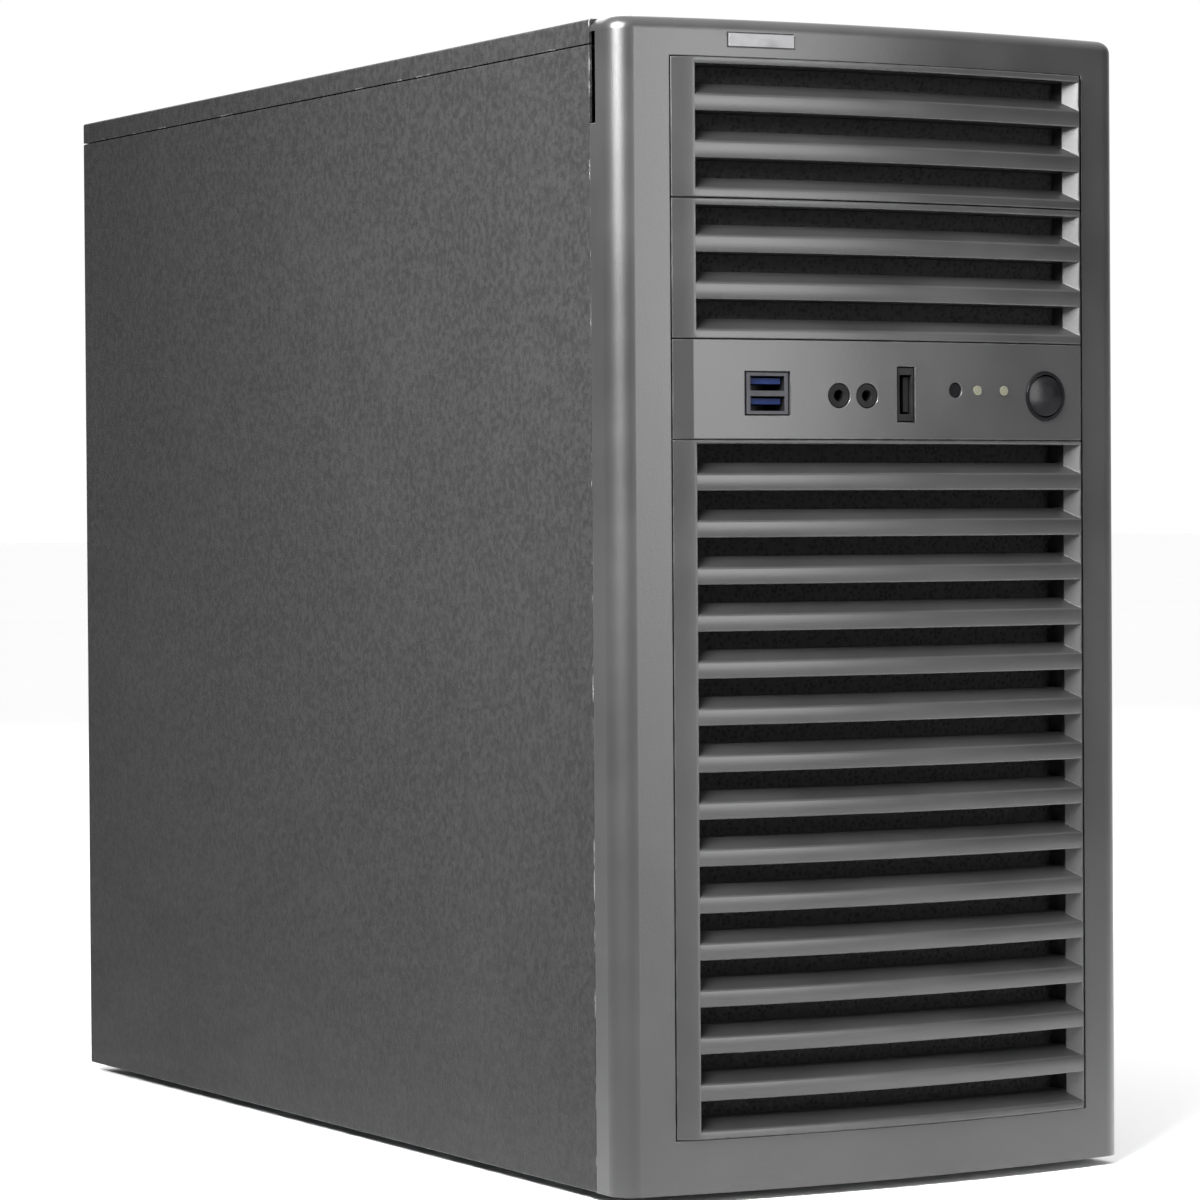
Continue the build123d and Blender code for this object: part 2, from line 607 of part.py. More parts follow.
REAR_FAN_PLANE = Plane(origin=(REAR_FAN_CENTRE[0], INNER_REAR, REAR_FAN_CENTRE[1]), z_dir=(0, -1, 0))
SUPPLY_FAN_PLANE = Plane(
    origin=(SUPPLY_FAN_CENTRE[0], INNER_REAR - 1.2, SUPPLY_FAN_CENTRE[1]), z_dir=(0, -1, 0)
)
COOLER_PLANE = Plane(
    origin=(BOARD_FACE_X - 6 - HEATSINK[1] - 0.2, HEATSINK_CENTRE[0], HEATSINK_CENTRE[1]), z_dir=(-1, 0, 0)
)


def fan_screw_places():
    reach = REAR_FAN[0] / 2 - 5
    x, z = REAR_FAN_CENTRE
    return [(x + dx, z + dz) for dx in (-reach, reach) for dz in (-reach, reach)]


# ---- Power supply ------------------------------------------------------------------------------
def supply_screw_places():
    return [(x, z) for x in (-71.5, 71.5) for z in (SUPPLY_BOTTOM + 7, SUPPLY_BOTTOM + 79)]


def psu_case():
    x = (-SUPPLY[0] / 2, SUPPLY[0] / 2)
    y = (SUPPLY_FRONT, INNER_REAR)
    z = (SUPPLY_BOTTOM, SUPPLY_BOTTOM + SUPPLY[2])
    case = block(x, y, z)
    case -= block((x[0] + 1, x[1] - 1), (y[0] + 1, y[1] - 1), (z[0] + 1, z[1] - 1))
    through = (INNER_REAR - 4, INNER_REAR + 4)
    case -= rod((SUPPLY_FAN_CENTRE[0], through[0], SUPPLY_FAN_CENTRE[1]), (0, 1, 0), 37, 8)
    case -= block((INLET_X - 14, INLET_X + 14), through, (INLET_Z - 12, INLET_Z + 12))
    case -= block((INLET_X - 6.9, INLET_X + 6.9), through, (SWITCH_Z - 9.9, SWITCH_Z + 9.9))
    for index in range(8):
        left = -62 + index * 11
        case -= block((left, left + 6), (SUPPLY_FRONT - 2, SUPPLY_FRONT + 3), (z[0] + 30, z[0] + 74))
    return case


def psu_inlet():
    """The three-pin mains inlet, with its recess and blades."""
    y = (INNER_REAR - 16, INNER_REAR + 0.5)
    body = block((INLET_X - 13.8, INLET_X + 13.8), y, (INLET_Z - 11.8, INLET_Z + 11.8))
    recess = block((INLET_X - 12, INLET_X + 12), (y[1] - 14, y[1] + 1), (INLET_Z - 8.2, INLET_Z + 8.2))
    recess = chamfer(recess.edges().filter_by(Axis.Y).sort_by(Axis.Z)[-2:], 4.0)
    body -= recess
    for x, z in ((-7, -1.5), (0, 2.5), (7, -1.5)):
        blade_x = (INLET_X + x - 1, INLET_X + x + 1)
        body += block(blade_x, (y[1] - 15, y[1] - 5), (INLET_Z + z - 2, INLET_Z + z + 2))
    return body


def switch_rocker():
    """The rocker of the supply switch, a flat-vee key on a pin across X."""
    profile = Polyline(
        (INNER_REAR - 5, SWITCH_Z - 7.0),
        (INNER_REAR + 3.2, SWITCH_Z - 7.6),
        (INNER_REAR + 1.2, SWITCH_Z),
        (INNER_REAR + 1.2, SWITCH_Z + 7.6),
        (INNER_REAR - 5, SWITCH_Z + 7.0),
        close=True,
    )
    face = Plane(origin=(INLET_X - 4.4, 0, 0), x_dir=(0, 1, 0), z_dir=(1, 0, 0)) * make_face(profile)
    return extrude(face, 8.8)


def psu_inlet_and_switch():
    """Inlet and switch housing, snapped into the supply's rear face."""
    return psu_inlet() + switch_frame()


def switch_frame():
    y = (INNER_REAR - 12, INNER_REAR + 0.8)
    frame = block((INLET_X - 6.8, INLET_X + 6.8), y, (SWITCH_Z - 9.8, SWITCH_Z + 9.8))
    opening_z = (SWITCH_Z - 8.9, SWITCH_Z + 8.9)
    return frame - block((INLET_X - 4.8, INLET_X + 4.8), (y[0] + 1.5, y[1] + 1), opening_z)


# ---- Motherboard and what is on it -------------------------------------------------------------
def standoff_places():
    """Nine board fixings on the usual grid."""
    rear = BOARD_REAR - 12
    top = BOARD_BOTTOM + BOARD - 10
    return [(rear - dy, top - dz) for dy in (0, 157.5, 224.8) for dz in (0, 125.0, 220.0)]


def motherboard():
    board = block((BOARD_FACE_X, BOARD_FACE_X + BOARD_THICKNESS), (BOARD_FRONT, BOARD_REAR),
                  (BOARD_BOTTOM, BOARD_BOTTOM + BOARD))
    for y, z in standoff_places():
        board -= rod((BOARD_FACE_X - 1, y, z), (1, 0, 0), 1.9, 4)
    return board


def board_standoffs():
    posts = Part()
    start = BOARD_FACE_X + BOARD_THICKNESS
    for y, z in standoff_places():
        hexagon = Plane(origin=(start, y, z), z_dir=(1, 0, 0)) * RegularPolygon(3.0, 6)
        posts += extrude(hexagon, TRAY_X - start)
    return posts


def board_screws():
    screws = Part()
    for y, z in standoff_places():
        screws += pan_screw((BOARD_FACE_X, y, z), (-1, 0, 0), BOARD_THICKNESS)
    return screws


def on_board(y, z, height):
    """A block that stands on the board's face, from Y and Z ranges and a height."""
    return block((BOARD_FACE_X - height, BOARD_FACE_X), y, z)


def cpu_socket():
    y, z = HEATSINK_CENTRE
    half = SOCKET[0] / 2
    return on_board((y - half, y + half), (z - half, z + half), SOCKET[1])


def cpu_heatsink():
    """Fins on a base, with a solid core under the fan."""
    y, z = HEATSINK_CENTRE
    half = HEATSINK[0] / 2
    foot = BOARD_FACE_X - 6
    sink = block((foot - 6, foot), (y - half, y + half), (z - half, z + half))
    sink += rod((foot - HEATSINK[1] + 6, y, z), (1, 0, 0), 14, HEATSINK[1] - 8)
    for index in range(HEATSINK_FINS):
        fin_z = z - half + 0.6 + index * (HEATSINK[0] - 2.4) / (HEATSINK_FINS - 1)
        sink += block((foot - HEATSINK[1] + 0.2, foot - 3), (y - half, y + half), (fin_z, fin_z + 1.2))
    return sink


def memory_sockets():
    sockets = Part()
    slot_z = (MEMORY_SOCKET_Z[0] + 3, MEMORY_SOCKET_Z[1] - 3)
    for y in MEMORY_Y:
        socket = on_board((y - 3, y + 3), MEMORY_SOCKET_Z, 8)
        socket -= on_board((y - 1, y + 1), slot_z, 20)
        sockets += socket + on_board((y - 1, y + 1), slot_z, 2)
    return sockets


def memory_modules():
    modules = Part()
    for y in MEMORY_Y[::2]:
        modules += block((BOARD_FACE_X - 32, BOARD_FACE_X - 2.3), (y - 0.7, y + 0.7), (115.5, 248.5))
        for z in range(8):
            low = 121 + z * 15.6
            modules += block((BOARD_FACE_X - 27, BOARD_FACE_X - 15), (y - 1.8, y + 1.8), (low, low + 11))
    return modules


def expansion_sockets():
    """Card sockets in line with the slots in the rear wall."""
    sockets = Part()
    for index, length in enumerate(CARD_SOCKET_LENGTHS):
        z = CARD_SLOT_Z + index * CARD_PITCH + 2
        y = (BOARD_REAR - 60 - length, BOARD_REAR - 60)
        slot_y = (y[0] + 2, y[1] - 2)
        socket = on_board(y, (z - 3.7, z + 3.7), 11)
        socket -= on_board(slot_y, (z - 1, z + 1), 20)
        sockets += socket + on_board(slot_y, (z - 1, z + 1), 3)
    return sockets


def chipset_heatsink():
    y, z = CHIPSET_CENTRE
    sink = on_board((y - 20, y + 20), (z - 18, z + 18), 5)
    for index in range(CHIPSET_FINS):
        fin = y - 20 + index * 4.8
        sink += on_board((fin, fin + 1.6), (z - 18, z + 18), 16)
    return sink


def capacitors():
    """Round cans beside the processor and along the lower edge."""
    cans = Part()
    places = [(174, 150 + 11 * index) for index in range(8)] + [(150 - 14 * index, 249) for index in range(5)]
    for y, z in places:
        cans += rod((BOARD_FACE_X - CAN[1], y, z), (1, 0, 0), *CAN)
    return cans


def board_headers():
    """Main power header, two data headers and the front panel header."""
    headers = on_board((BOARD_FRONT + 6, BOARD_FRONT + 15), (186, 238), 12)
    for z in (54, 66):
        headers += on_board((BOARD_FRONT + 6, BOARD_FRONT + 22), (z - 3.5, z + 3.5), 8)
    return headers + on_board((BOARD_FRONT + 12, BOARD_FRONT + 22), (20, 34), 8)


def rear_ports():
    """Port housings that reach out through the shield."""
    y = (BOARD_REAR - 17, WALL_REAR + 0.6)
    ports = Part()
    for z in REAR_PORT_Z:
        housing = on_board(y, (z - 7.2, z + 7.2), 31)
        for x in (BOARD_FACE_X - 8, BOARD_FACE_X - 24):
            housing -= block((x - 2.3, x + 2.3), (y[1] - 13, y[1] + 1), (z - 6.2, z + 6.2))
            housing += block((x - 0.9, x + 0.9), (y[1] - 14, y[1] - 1.5), (z - 5.4, z + 5.4))
        ports += housing
    video = on_board(y, (180, 219), 14)
    video -= block((BOARD_FACE_X - 11.5, BOARD_FACE_X - 3.5), (y[1] - 6, y[1] + 1), (184, 215))
    ports += video
    jacks = on_board(y, (146, 174), 36)
    for x in (BOARD_FACE_X - 6.5, BOARD_FACE_X - 18.5, BOARD_FACE_X - 30):
        for z in (153, 167):
            jacks -= rod((x, y[1] - 13, z), (0, 1, 0), JACK_BORE, 20)
    return ports + jacks


def io_shield():
    y = (WALL_REAR - SHEET, WALL_REAR - 0.4)
    shield = block(SHIELD_X, y, SHIELD_Z)
    through = (y[0] - 2, y[1] + 2)
    for z in REAR_PORT_Z:
        shield -= block((BOARD_FACE_X - 31.4, BOARD_FACE_X + 0.4), through, (z - 7.6, z + 7.6))
    shield -= block((BOARD_FACE_X - 14.4, BOARD_FACE_X + 0.4), through, (179.6, 219.4))
    shield -= block((BOARD_FACE_X - 36.4, BOARD_FACE_X + 0.4), through, (145.6, 174.4))
    return shield


def slot_covers():
    """Four blanking brackets behind the card openings."""
    covers = Part()
    for index in range(CARD_SLOTS):
        z = CARD_SLOT_Z + index * CARD_PITCH
        y = INNER_REAR
        cover = block((CARD_SLOT_X[0] - 4, CARD_SLOT_X[1] + 4), (y - 0.9, y), (z - 9.2, z + 9.2))
        cover += block((CARD_SLOT_X[0] + 2, CARD_SLOT_X[1] - 2), (y - 0.5, y + 1.0), (z - 5.5, z + 5.5))
        cover += block((CARD_SLOT_X[0] - 4, CARD_SLOT_X[0] - 3), (y - 11, y), (z - 9.2, z + 9.2))
        covers += cover
    return covers


# ---- Fasteners, feet and cables ----------------------------------------------------------------
def pan_screw(place, direction, reach):
    """A domed head with a cross recess on the surface at a place, and its shank."""
    screw = Cylinder(PAN_HEAD[0], PAN_HEAD[1], align=(Align.CENTER, Align.CENTER, Align.MIN))
    screw = fillet(screw.edges().sort_by(Axis.Z)[-1], 0.9 * PAN_HEAD[1] / 2)
    for angle in (45, 135):
        arm = Box(1.1 * PAN_HEAD[0], 0.8, 1.6)
        screw -= Rot(0, 0, angle) * Pos(0, 0, PAN_HEAD[1]) * arm
    screw += Cylinder(SCREW_SHANK - 0.1, reach, align=(Align.CENTER, Align.CENTER, Align.MAX))
    return Plane(origin=place, z_dir=direction) * screw


def chassis_screws():
    """The board's screws, and the supply, fan and right-panel screws on the rear wall."""
    screws = board_screws()
    for x, z in supply_screw_places() + fan_screw_places():
        screws += pan_screw((x, WALL_REAR, z), (0, 1, 0), 1.0)
    for z in THUMBSCREW_Z:
        screws += pan_screw((-THUMBSCREW_X, PANEL_REAR, z), (0, 1, 0), 2.4)
    return screws


def thumbscrew(z):
    """A captive screw with a knurled head."""
    start = PANEL_REAR + GAP
    head = rod((THUMBSCREW_X, start, z), (0, 1, 0), THUMBSCREW_RADIUS, SCREW_HEAD_LENGTH)
    grooves = 24
    for index in range(grooves):
        plane = Plane(origin=(THUMBSCREW_X, start + 1.5, z), z_dir=(0, 1, 0))
        head -= plane * Rot(0, 0, index * 360 / grooves) * Pos(THUMBSCREW_RADIUS, 0, 3) * Box(0.8, 0.7, 8)
    head -= block((THUMBSCREW_X - 0.6, THUMBSCREW_X + 0.6), (start + 5.5, start + 8), (z - 4, z + 4))
    head -= block((THUMBSCREW_X - 4, THUMBSCREW_X + 4), (start + 5.5, start + 8), (z - 0.6, z + 0.6))
    return head + rod((THUMBSCREW_X, start, z), (0, -1, 0), SCREW_SHANK, 7)


def rubber_feet():
    feet = Part()
    for x in (-FOOT_X, FOOT_X):
        for y in FOOT_Y:
            foot = Pos(x, y, 0) * Cone(8.5, 10.0, FOOT_HEIGHT, align=(Align.CENTER, Align.CENTER, Align.MIN))
            feet += foot + rod((x, y, FOOT_HEIGHT - 0.5), (0, 0, 1), 3.1, 3.5)
    return feet


def main_power_cable():
    header_y = BOARD_FRONT + 10.5
    points = [
        Vector(8, SUPPLY_FRONT, 288),
        Vector(8, 32, 288),
        Vector(13, -4, 262),
        Vector(28, header_y, 224),
        Vector(42, header_y, 212),
        Vector(BOARD_FACE_X - 12, header_y, 212),
    ]
    return cable(points, 9.0)


def drive_power_cable():
    drive_rear = DRIVE_FRONT + DRIVE[1]
    points = [
        Vector(-30, SUPPLY_FRONT, 284),
        Vector(-30, 42, 284),
        Vector(-33, 18, 226),
        Vector(-34, 10, 170),
        Vector(-33, 4, 120),
        Vector(-28, drive_rear + 22, DRIVE_Z[1] + 14),
        Vector(-28, drive_rear, DRIVE_Z[1] + 14),
    ]
    return cable(points, 5.0)


def drive_data_cable():
    drive_rear = DRIVE_FRONT + DRIVE[1]
    header_y = BOARD_FRONT + 14
    points = [
        Vector(BOARD_FACE_X - 8, header_y, 66),
        Vector(48, header_y, 66),
        Vector(26, header_y + 16, 72),
        Vector(10, header_y + 14, 82),
        Vector(10, drive_rear, DRIVE_Z[1] + 14),
    ]
    return cable(points, 4.0)


def front_panel_cable():
    points = [
        Vector(FRONT_CABLE_X, PORT_BOARD_Y[1], FRONT_CABLE_Z),
        Vector(FRONT_CABLE_X, -180, FRONT_CABLE_Z),
        Vector(62, -148, 205),
        Vector(63, -104, 150),
        Vector(62, -66, 94),
        Vector(55, -34, 44),
        Vector(57, BOARD_FRONT + 17, 27),
        Vector(BOARD_FACE_X - 8, BOARD_FRONT + 17, 27),
    ]
    return cable(points, 4.0)


def main():
    os.makedirs("parts", exist_ok=True)
    nodes = {
        "base_pan": base_pan,
        "rear_wall": rear_wall,
        "front_wall": front_wall,
        "board_tray": board_tray,
        "top_cover": top_cover,
        "bezel_grille": bezel_grille,
        "dust_filter": dust_filter,
        "io_fascia": io_fascia,
        "front_bezel": front_bezel,
        "badge_plate": badge_plate,
        "power_button_ring": power_button_ring,
        "lamp_lenses": lamp_lenses,
        "power_button": power_button,
        "reset_button": reset_button,
        "front_port_board": front_port_circuit,
        "front_port_posts": front_port_posts,
        "usb_front_shell": usb_front_shell,
        "usb_front_tongues": usb_front_tongues,
        "usb_front_upright": usb_front_upright,
        "audio_jacks": audio_jacks,
        "drive_cage_525": drive_cage_525,
        "drive_cage_35": drive_cage_35,
        "psu_case": psu_case,
        "psu_inlet": psu_inlet_and_switch,
        "psu_switch_rocker": switch_rocker,
        "motherboard": motherboard,
        "board_standoffs": board_standoffs,
        "cpu_socket": cpu_socket,
        "cpu_heatsink": cpu_heatsink,
        "memory_sockets": memory_sockets,
        "memory_modules": memory_modules,
        "expansion_sockets": expansion_sockets,
        "chipset_heatsink": chipset_heatsink,
        "capacitors": capacitors,
        "board_headers": board_headers,
        "rear_ports": rear_ports,
        "io_shield": io_shield,
        "slot_covers": slot_covers,
        "chassis_screws": chassis_screws,
        "rubber_feet": rubber_feet,
        "main_power_cable": main_power_cable,
        "drive_power_cable": drive_power_cable,
        "drive_data_cable": drive_data_cable,
        "front_panel_cable": front_panel_cable,
    }
    for node, build in nodes.items():
        save(build(), node)
    save(side_panel(-1), "left_side_panel")
    save(side_panel(1), "right_side_panel")
    save(bay_cover(BAYS_TOP), "bay_cover_upper")
    save(bay_cover(BAYS_MIDDLE), "bay_cover_lower")
    for name, z in zip(("lower", "upper"), DRIVE_Z):
        save(hard_drive(z), f"hard_drive_{name}")
    for name, z in zip(("upper", "lower"), THUMBSCREW_Z):
        save(thumbscrew(z), f"thumbscrew_{name}")
    fans = (
        ("rear_fan", REAR_FAN_PLANE, REAR_FAN, 20.0),
        ("psu_fan", SUPPLY_FAN_PLANE, SUPPLY_FAN, 17.0),
        ("cpu_fan", COOLER_PLANE, COOLER_FAN, 16.0),
    )
    for name, plane, size, hub in fans:
        save(fan_frame(plane, *size, hub), f"{name}_frame")
        save(fan_rotor(plane, *size, hub), f"{name}_rotor")
    for name, centre, radii in (
        ("rear_fan", REAR_FAN_CENTRE, (13.0, 22.0, 31.0, 40.0)),
        ("psu_fan", SUPPLY_FAN_CENTRE, (11.0, 19.0, 27.0, 35.0)),
    ):
        guard_plane = Plane(origin=(centre[0], WALL_REAR + 1.1, centre[1]), z_dir=(0, 1, 0))
        save(wire_guard(guard_plane, radii), f"{name}_guard")


main()
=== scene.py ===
import json
import math
import random

import bmesh
import bpy
from mathutils import Matrix, Vector, noise


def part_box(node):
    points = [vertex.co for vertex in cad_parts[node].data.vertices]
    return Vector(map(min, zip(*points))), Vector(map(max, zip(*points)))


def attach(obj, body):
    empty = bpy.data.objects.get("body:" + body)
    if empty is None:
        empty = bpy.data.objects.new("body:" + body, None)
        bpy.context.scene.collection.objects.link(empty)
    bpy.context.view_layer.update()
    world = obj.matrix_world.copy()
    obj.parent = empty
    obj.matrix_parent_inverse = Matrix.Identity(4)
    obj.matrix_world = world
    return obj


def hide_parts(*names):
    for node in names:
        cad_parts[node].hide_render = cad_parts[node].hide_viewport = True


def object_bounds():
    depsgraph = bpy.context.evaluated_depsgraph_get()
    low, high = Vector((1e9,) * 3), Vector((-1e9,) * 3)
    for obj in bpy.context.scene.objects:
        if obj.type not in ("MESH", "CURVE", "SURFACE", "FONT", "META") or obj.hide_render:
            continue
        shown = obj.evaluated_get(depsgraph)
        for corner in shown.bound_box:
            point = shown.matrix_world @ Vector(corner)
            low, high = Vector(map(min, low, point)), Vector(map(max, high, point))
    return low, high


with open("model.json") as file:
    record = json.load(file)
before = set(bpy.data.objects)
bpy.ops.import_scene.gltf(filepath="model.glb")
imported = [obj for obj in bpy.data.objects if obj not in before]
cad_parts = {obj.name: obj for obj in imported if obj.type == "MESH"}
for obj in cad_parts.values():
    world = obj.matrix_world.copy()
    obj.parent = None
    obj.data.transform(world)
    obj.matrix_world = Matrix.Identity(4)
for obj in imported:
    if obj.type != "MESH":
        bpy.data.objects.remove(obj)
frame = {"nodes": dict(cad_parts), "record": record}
nodes = frame["nodes"]
cad_low, cad_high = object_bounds()

MM = 0.001


# ---- Places read from the frame ----------------------------------------------------------------
def centre_of(node):
    """The middle of a CAD node's box."""
    low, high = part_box(node)
    return (low + high) / 2


FASCIA_LOW, FASCIA_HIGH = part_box("io_fascia")
BEZEL_LOW, BEZEL_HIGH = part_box("front_bezel")
FIELD_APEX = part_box("bezel_grille")[0].y
CHORD = BEZEL_HIGH.x
CORNER_SETBACK = 8.5 * MM
FIELD_CORNER = BEZEL_LOW.y + CORNER_SETBACK
BOW = FIELD_CORNER - BEZEL_LOW.y
BOW_RADIUS = (CHORD ** 2 + BOW ** 2) / (2 * BOW) + (BEZEL_LOW.y - FIELD_APEX)
BOW_CENTRE_Y = FIELD_APEX + BOW_RADIUS
LOUVRE_PITCH = 43 * MM / 3
EDGE_LEFT = 6 * MM
EDGE_RIGHT = 1.5 * MM
SLOT_LEFT = FASCIA_LOW.x + 7 * MM
SLOT_RIGHT = FASCIA_HIGH.x - EDGE_RIGHT
# Depths behind the bowed front over which painted shade darkens the louvre slots.
SLOT_SHADE_DEPTHS = (6.0 * MM, 10.5 * MM)


def bow_y(x, depth=0.0):
    """Y at a given X and depth behind the louvre field's bowed front."""
    return BOW_CENTRE_Y - math.sqrt((BOW_RADIUS - depth) ** 2 - x ** 2)


# ---- Node material helpers ---------------------------------------------------------------------
class Surface:
    """One procedural material: a Principled shader and short calls that add nodes to its tree."""

    def __init__(self, name, metallic=0.0, ior=1.5, coat=0.0, coat_roughness=0.1, anisotropic=0.0,
                 specular=0.5):
        self.material = bpy.data.materials.new(name)
        self.material.use_nodes = True
        self.tree = self.material.node_tree
        self.shader = self.tree.nodes["Principled BSDF"]
        self.shader.inputs["Metallic"].default_value = metallic
        self.shader.inputs["IOR"].default_value = ior
        self.shader.inputs["Specular IOR Level"].default_value = specular
        self.shader.inputs["Coat Weight"].default_value = coat
        self.shader.inputs["Coat Roughness"].default_value = coat_roughness
        self.shader.inputs["Anisotropic"].default_value = anisotropic
        self.place = self.add("ShaderNodeTexCoord").outputs["Object"]

    def add(self, kind, inputs=None, **settings):
        node = self.tree.nodes.new(kind)
        for name, value in settings.items():
            setattr(node, name, value)
        for name, value in (inputs or {}).items():
            if isinstance(value, bpy.types.NodeSocket):
                self.tree.links.new(value, node.inputs[name])
            else:
                node.inputs[name].default_value = value
        return node

    def stretched(self, scale):
        """The place, scaled apart on each axis."""
        return self.add("ShaderNodeMapping", {"Vector": self.place, "Scale": scale}).outputs["Vector"]

    def noise(self, cell, detail=3.0, roughness=0.55, vector=None):
        """Soft noise with features about one cell across, in metres."""
        inputs = {
            "Vector": vector or self.place, "Scale": 1 / cell, "Detail": detail, "Roughness": roughness,
        }
        return self.add("ShaderNodeTexNoise", inputs).outputs["Fac"]

    def cells(self, cell, feature="F1", output="Distance", vector=None):
        """Voronoi cells about one cell across, in metres."""
        inputs = {"Vector": vector or self.place, "Scale": 1 / cell}
        return self.add("ShaderNodeTexVoronoi", inputs, feature=feature).outputs[output]

    def math(self, operation, a, b=0.0):
        return self.add("ShaderNodeMath", {0: a, 1: b}, operation=operation).outputs[0]

    def spread(self, value, low, high, to_low=0.0, to_high=1.0):
        """Maps a value's range to another, smoothly and clamped."""
        inputs = {"Value": value, "From Min": low, "From Max": high, "To Min": to_low, "To Max": to_high}
        node = self.add("ShaderNodeMapRange", inputs, interpolation_type="SMOOTHSTEP")
        return node.outputs["Result"]

    def blend(self, factor, a, b):
        """Mixes two colours."""
        node = self.add("ShaderNodeMix", data_type="RGBA", blend_type="MIX", clamp_result=True)
        for index, value in ((0, factor), (6, a), (7, b)):
            if isinstance(value, bpy.types.NodeSocket):
                self.tree.links.new(value, node.inputs[index])
            else:
                node.inputs[index].default_value = value
        return node.outputs[2]

    def axis(self, name, vector=None):
        return self.add("ShaderNodeSeparateXYZ", {"Vector": vector or self.place}).outputs[name]

    def colour(self, socket):
        self.tree.links.new(socket, self.shader.inputs["Base Color"])

    def roughness(self, socket):
        self.tree.links.new(socket, self.shader.inputs["Roughness"])

    def bump(self, height, distance, strength=1.0, rounded=0.0):
        """Adds a bump of a height in metres; rounded softens the edges by that radius."""
        inputs = {"Height": height, "Distance": distance, "Strength": strength}
        if rounded:
            inputs["Normal"] = self.add("ShaderNodeBevel", {"Radius": rounded}, samples=4).outputs["Normal"]
        normal = self.add("ShaderNodeBump", inputs).outputs["Normal"]
        self.tree.links.new(normal, self.shader.inputs["Normal"])

    def edges(self, radius):
        """1 along convex and concave edges within a radius, 0 on flat ground."""
        bent = self.add("ShaderNodeBevel", {"Radius": radius}, samples=4).outputs["Normal"]
        flat = self.add("ShaderNodeNewGeometry").outputs["Normal"]
        match = self.add("ShaderNodeVectorMath", {0: bent, 1: flat}, operation="DOT_PRODUCT")
        return self.spread(match.outputs["Value"], 0.995, 0.8)


def grey(value):
    """A nearly neutral grey with a trace of blue."""
    return (value, value, value * 1.03, 1.0)


# ---- Materials ---------------------------------------------------------------------------------
def bezel_plastic():
    """Dark moulded plastic with a fine spark grain; inside the louvre slots the colour is darkened to near
    black as painted shade.
    """
    s = Surface("bezel_plastic", ior=1.5, specular=0.56)
    patch = s.noise(0.045, 4.0)
    grain = s.noise(0.00045, 2.0, 0.6)
    base = s.blend(s.spread(patch, 0.3, 0.7), grey(0.010), grey(0.015))
    # Worn edges, lightened in patches, that also paint a highlight along the bezel's edges.
    lightened_edges = s.math("MULTIPLY", s.edges(0.0006), s.spread(s.noise(0.006, 4.0), 0.42, 0.62))
    base = s.blend(s.math("MULTIPLY", lightened_edges, 0.35), base, grey(0.11))
    # Painted shade: within the slot span the colour goes almost black from 6 to 10.5 mm behind the bowed
    # front, and roughness rises there.
    x = s.axis("X")
    y = s.axis("Y")
    root = s.math("SQRT", s.math("SUBTRACT", BOW_RADIUS ** 2, s.math("MULTIPLY", x, x)))
    depth = s.math("SUBTRACT", y, s.math("SUBTRACT", BOW_CENTRE_Y, root))
    inside = s.math("LESS_THAN", s.math("ABSOLUTE", x), SLOT_RIGHT + 0.1 * MM)
    slot_shade = s.math("MULTIPLY", s.spread(depth, *SLOT_SHADE_DEPTHS), inside)
    base = s.blend(s.math("MULTIPLY", slot_shade, 0.93), base, grey(0.004))
    s.colour(base)
    s.roughness(s.math("ADD", s.spread(patch, 0.2, 0.8, 0.29, 0.35), s.math("MULTIPLY", slot_shade, 0.5)))
    height = s.math("ADD", grain, s.math("MULTIPLY", s.noise(0.0016, 2.0), 0.5))
    s.bump(height, 0.00005, 0.55, rounded=0.0004)
    return s.material


def side_paint():
    """Satin black powder coat with a fine pebbled texture, a little dust and faint rub marks."""
    s = Surface("side_paint", ior=1.48, specular=0.12)
    pebble = s.cells(0.00085)
    fine = s.noise(0.0003, 2.0)
    dust = s.spread(s.noise(0.07, 5.0, 0.6), 0.45, 0.8)
    base = s.blend(s.spread(s.noise(0.002, 3.0), 0.3, 0.7), grey(0.009), grey(0.016))
    base = s.blend(s.math("MULTIPLY", dust, 0.08), base, (0.036, 0.035, 0.034, 1))
    lightened_edges = s.math("MULTIPLY", s.edges(0.0007), s.spread(s.noise(0.009, 4.0), 0.5, 0.66))
    base = s.blend(s.math("MULTIPLY", lightened_edges, 0.6), base, grey(0.3))
    s.colour(base)
    rub = s.noise(0.03, 4.0, 0.65, s.stretched((1, 0.35, 1.6)))
    s.roughness(s.spread(rub, 0.25, 0.75, 0.45, 0.51))
    s.bump(s.math("ADD", pebble, s.math("MULTIPLY", fine, 0.4)), 0.00009, 0.6, rounded=0.0005)
    return s.material


def galvanised_steel():
    """Zinc-coated sheet with faint spangle and rolling lines."""
    s = Surface("galvanised_steel", metallic=1.0)
    spangle = s.cells(0.0045, output="Color")
    tone = s.axis("X", spangle)
    base = s.blend(s.spread(tone, 0.0, 1.0), (0.29, 0.295, 0.30, 1), (0.345, 0.35, 0.36, 1))
    stain = s.spread(s.noise(0.05, 5.0), 0.55, 0.8)
    s.colour(s.blend(s.math("MULTIPLY", stain, 0.35), base, (0.22, 0.22, 0.215, 1)))
    lines = s.noise(0.0006, 2.0, 0.5, s.stretched((1, 0.03, 1)))
    s.roughness(s.math("ADD", s.spread(tone, 0, 1, 0.40, 0.47), s.math("MULTIPLY", lines, 0.06)))
    s.bump(lines, 0.00003, 0.4, rounded=0.0003)
    return s.material


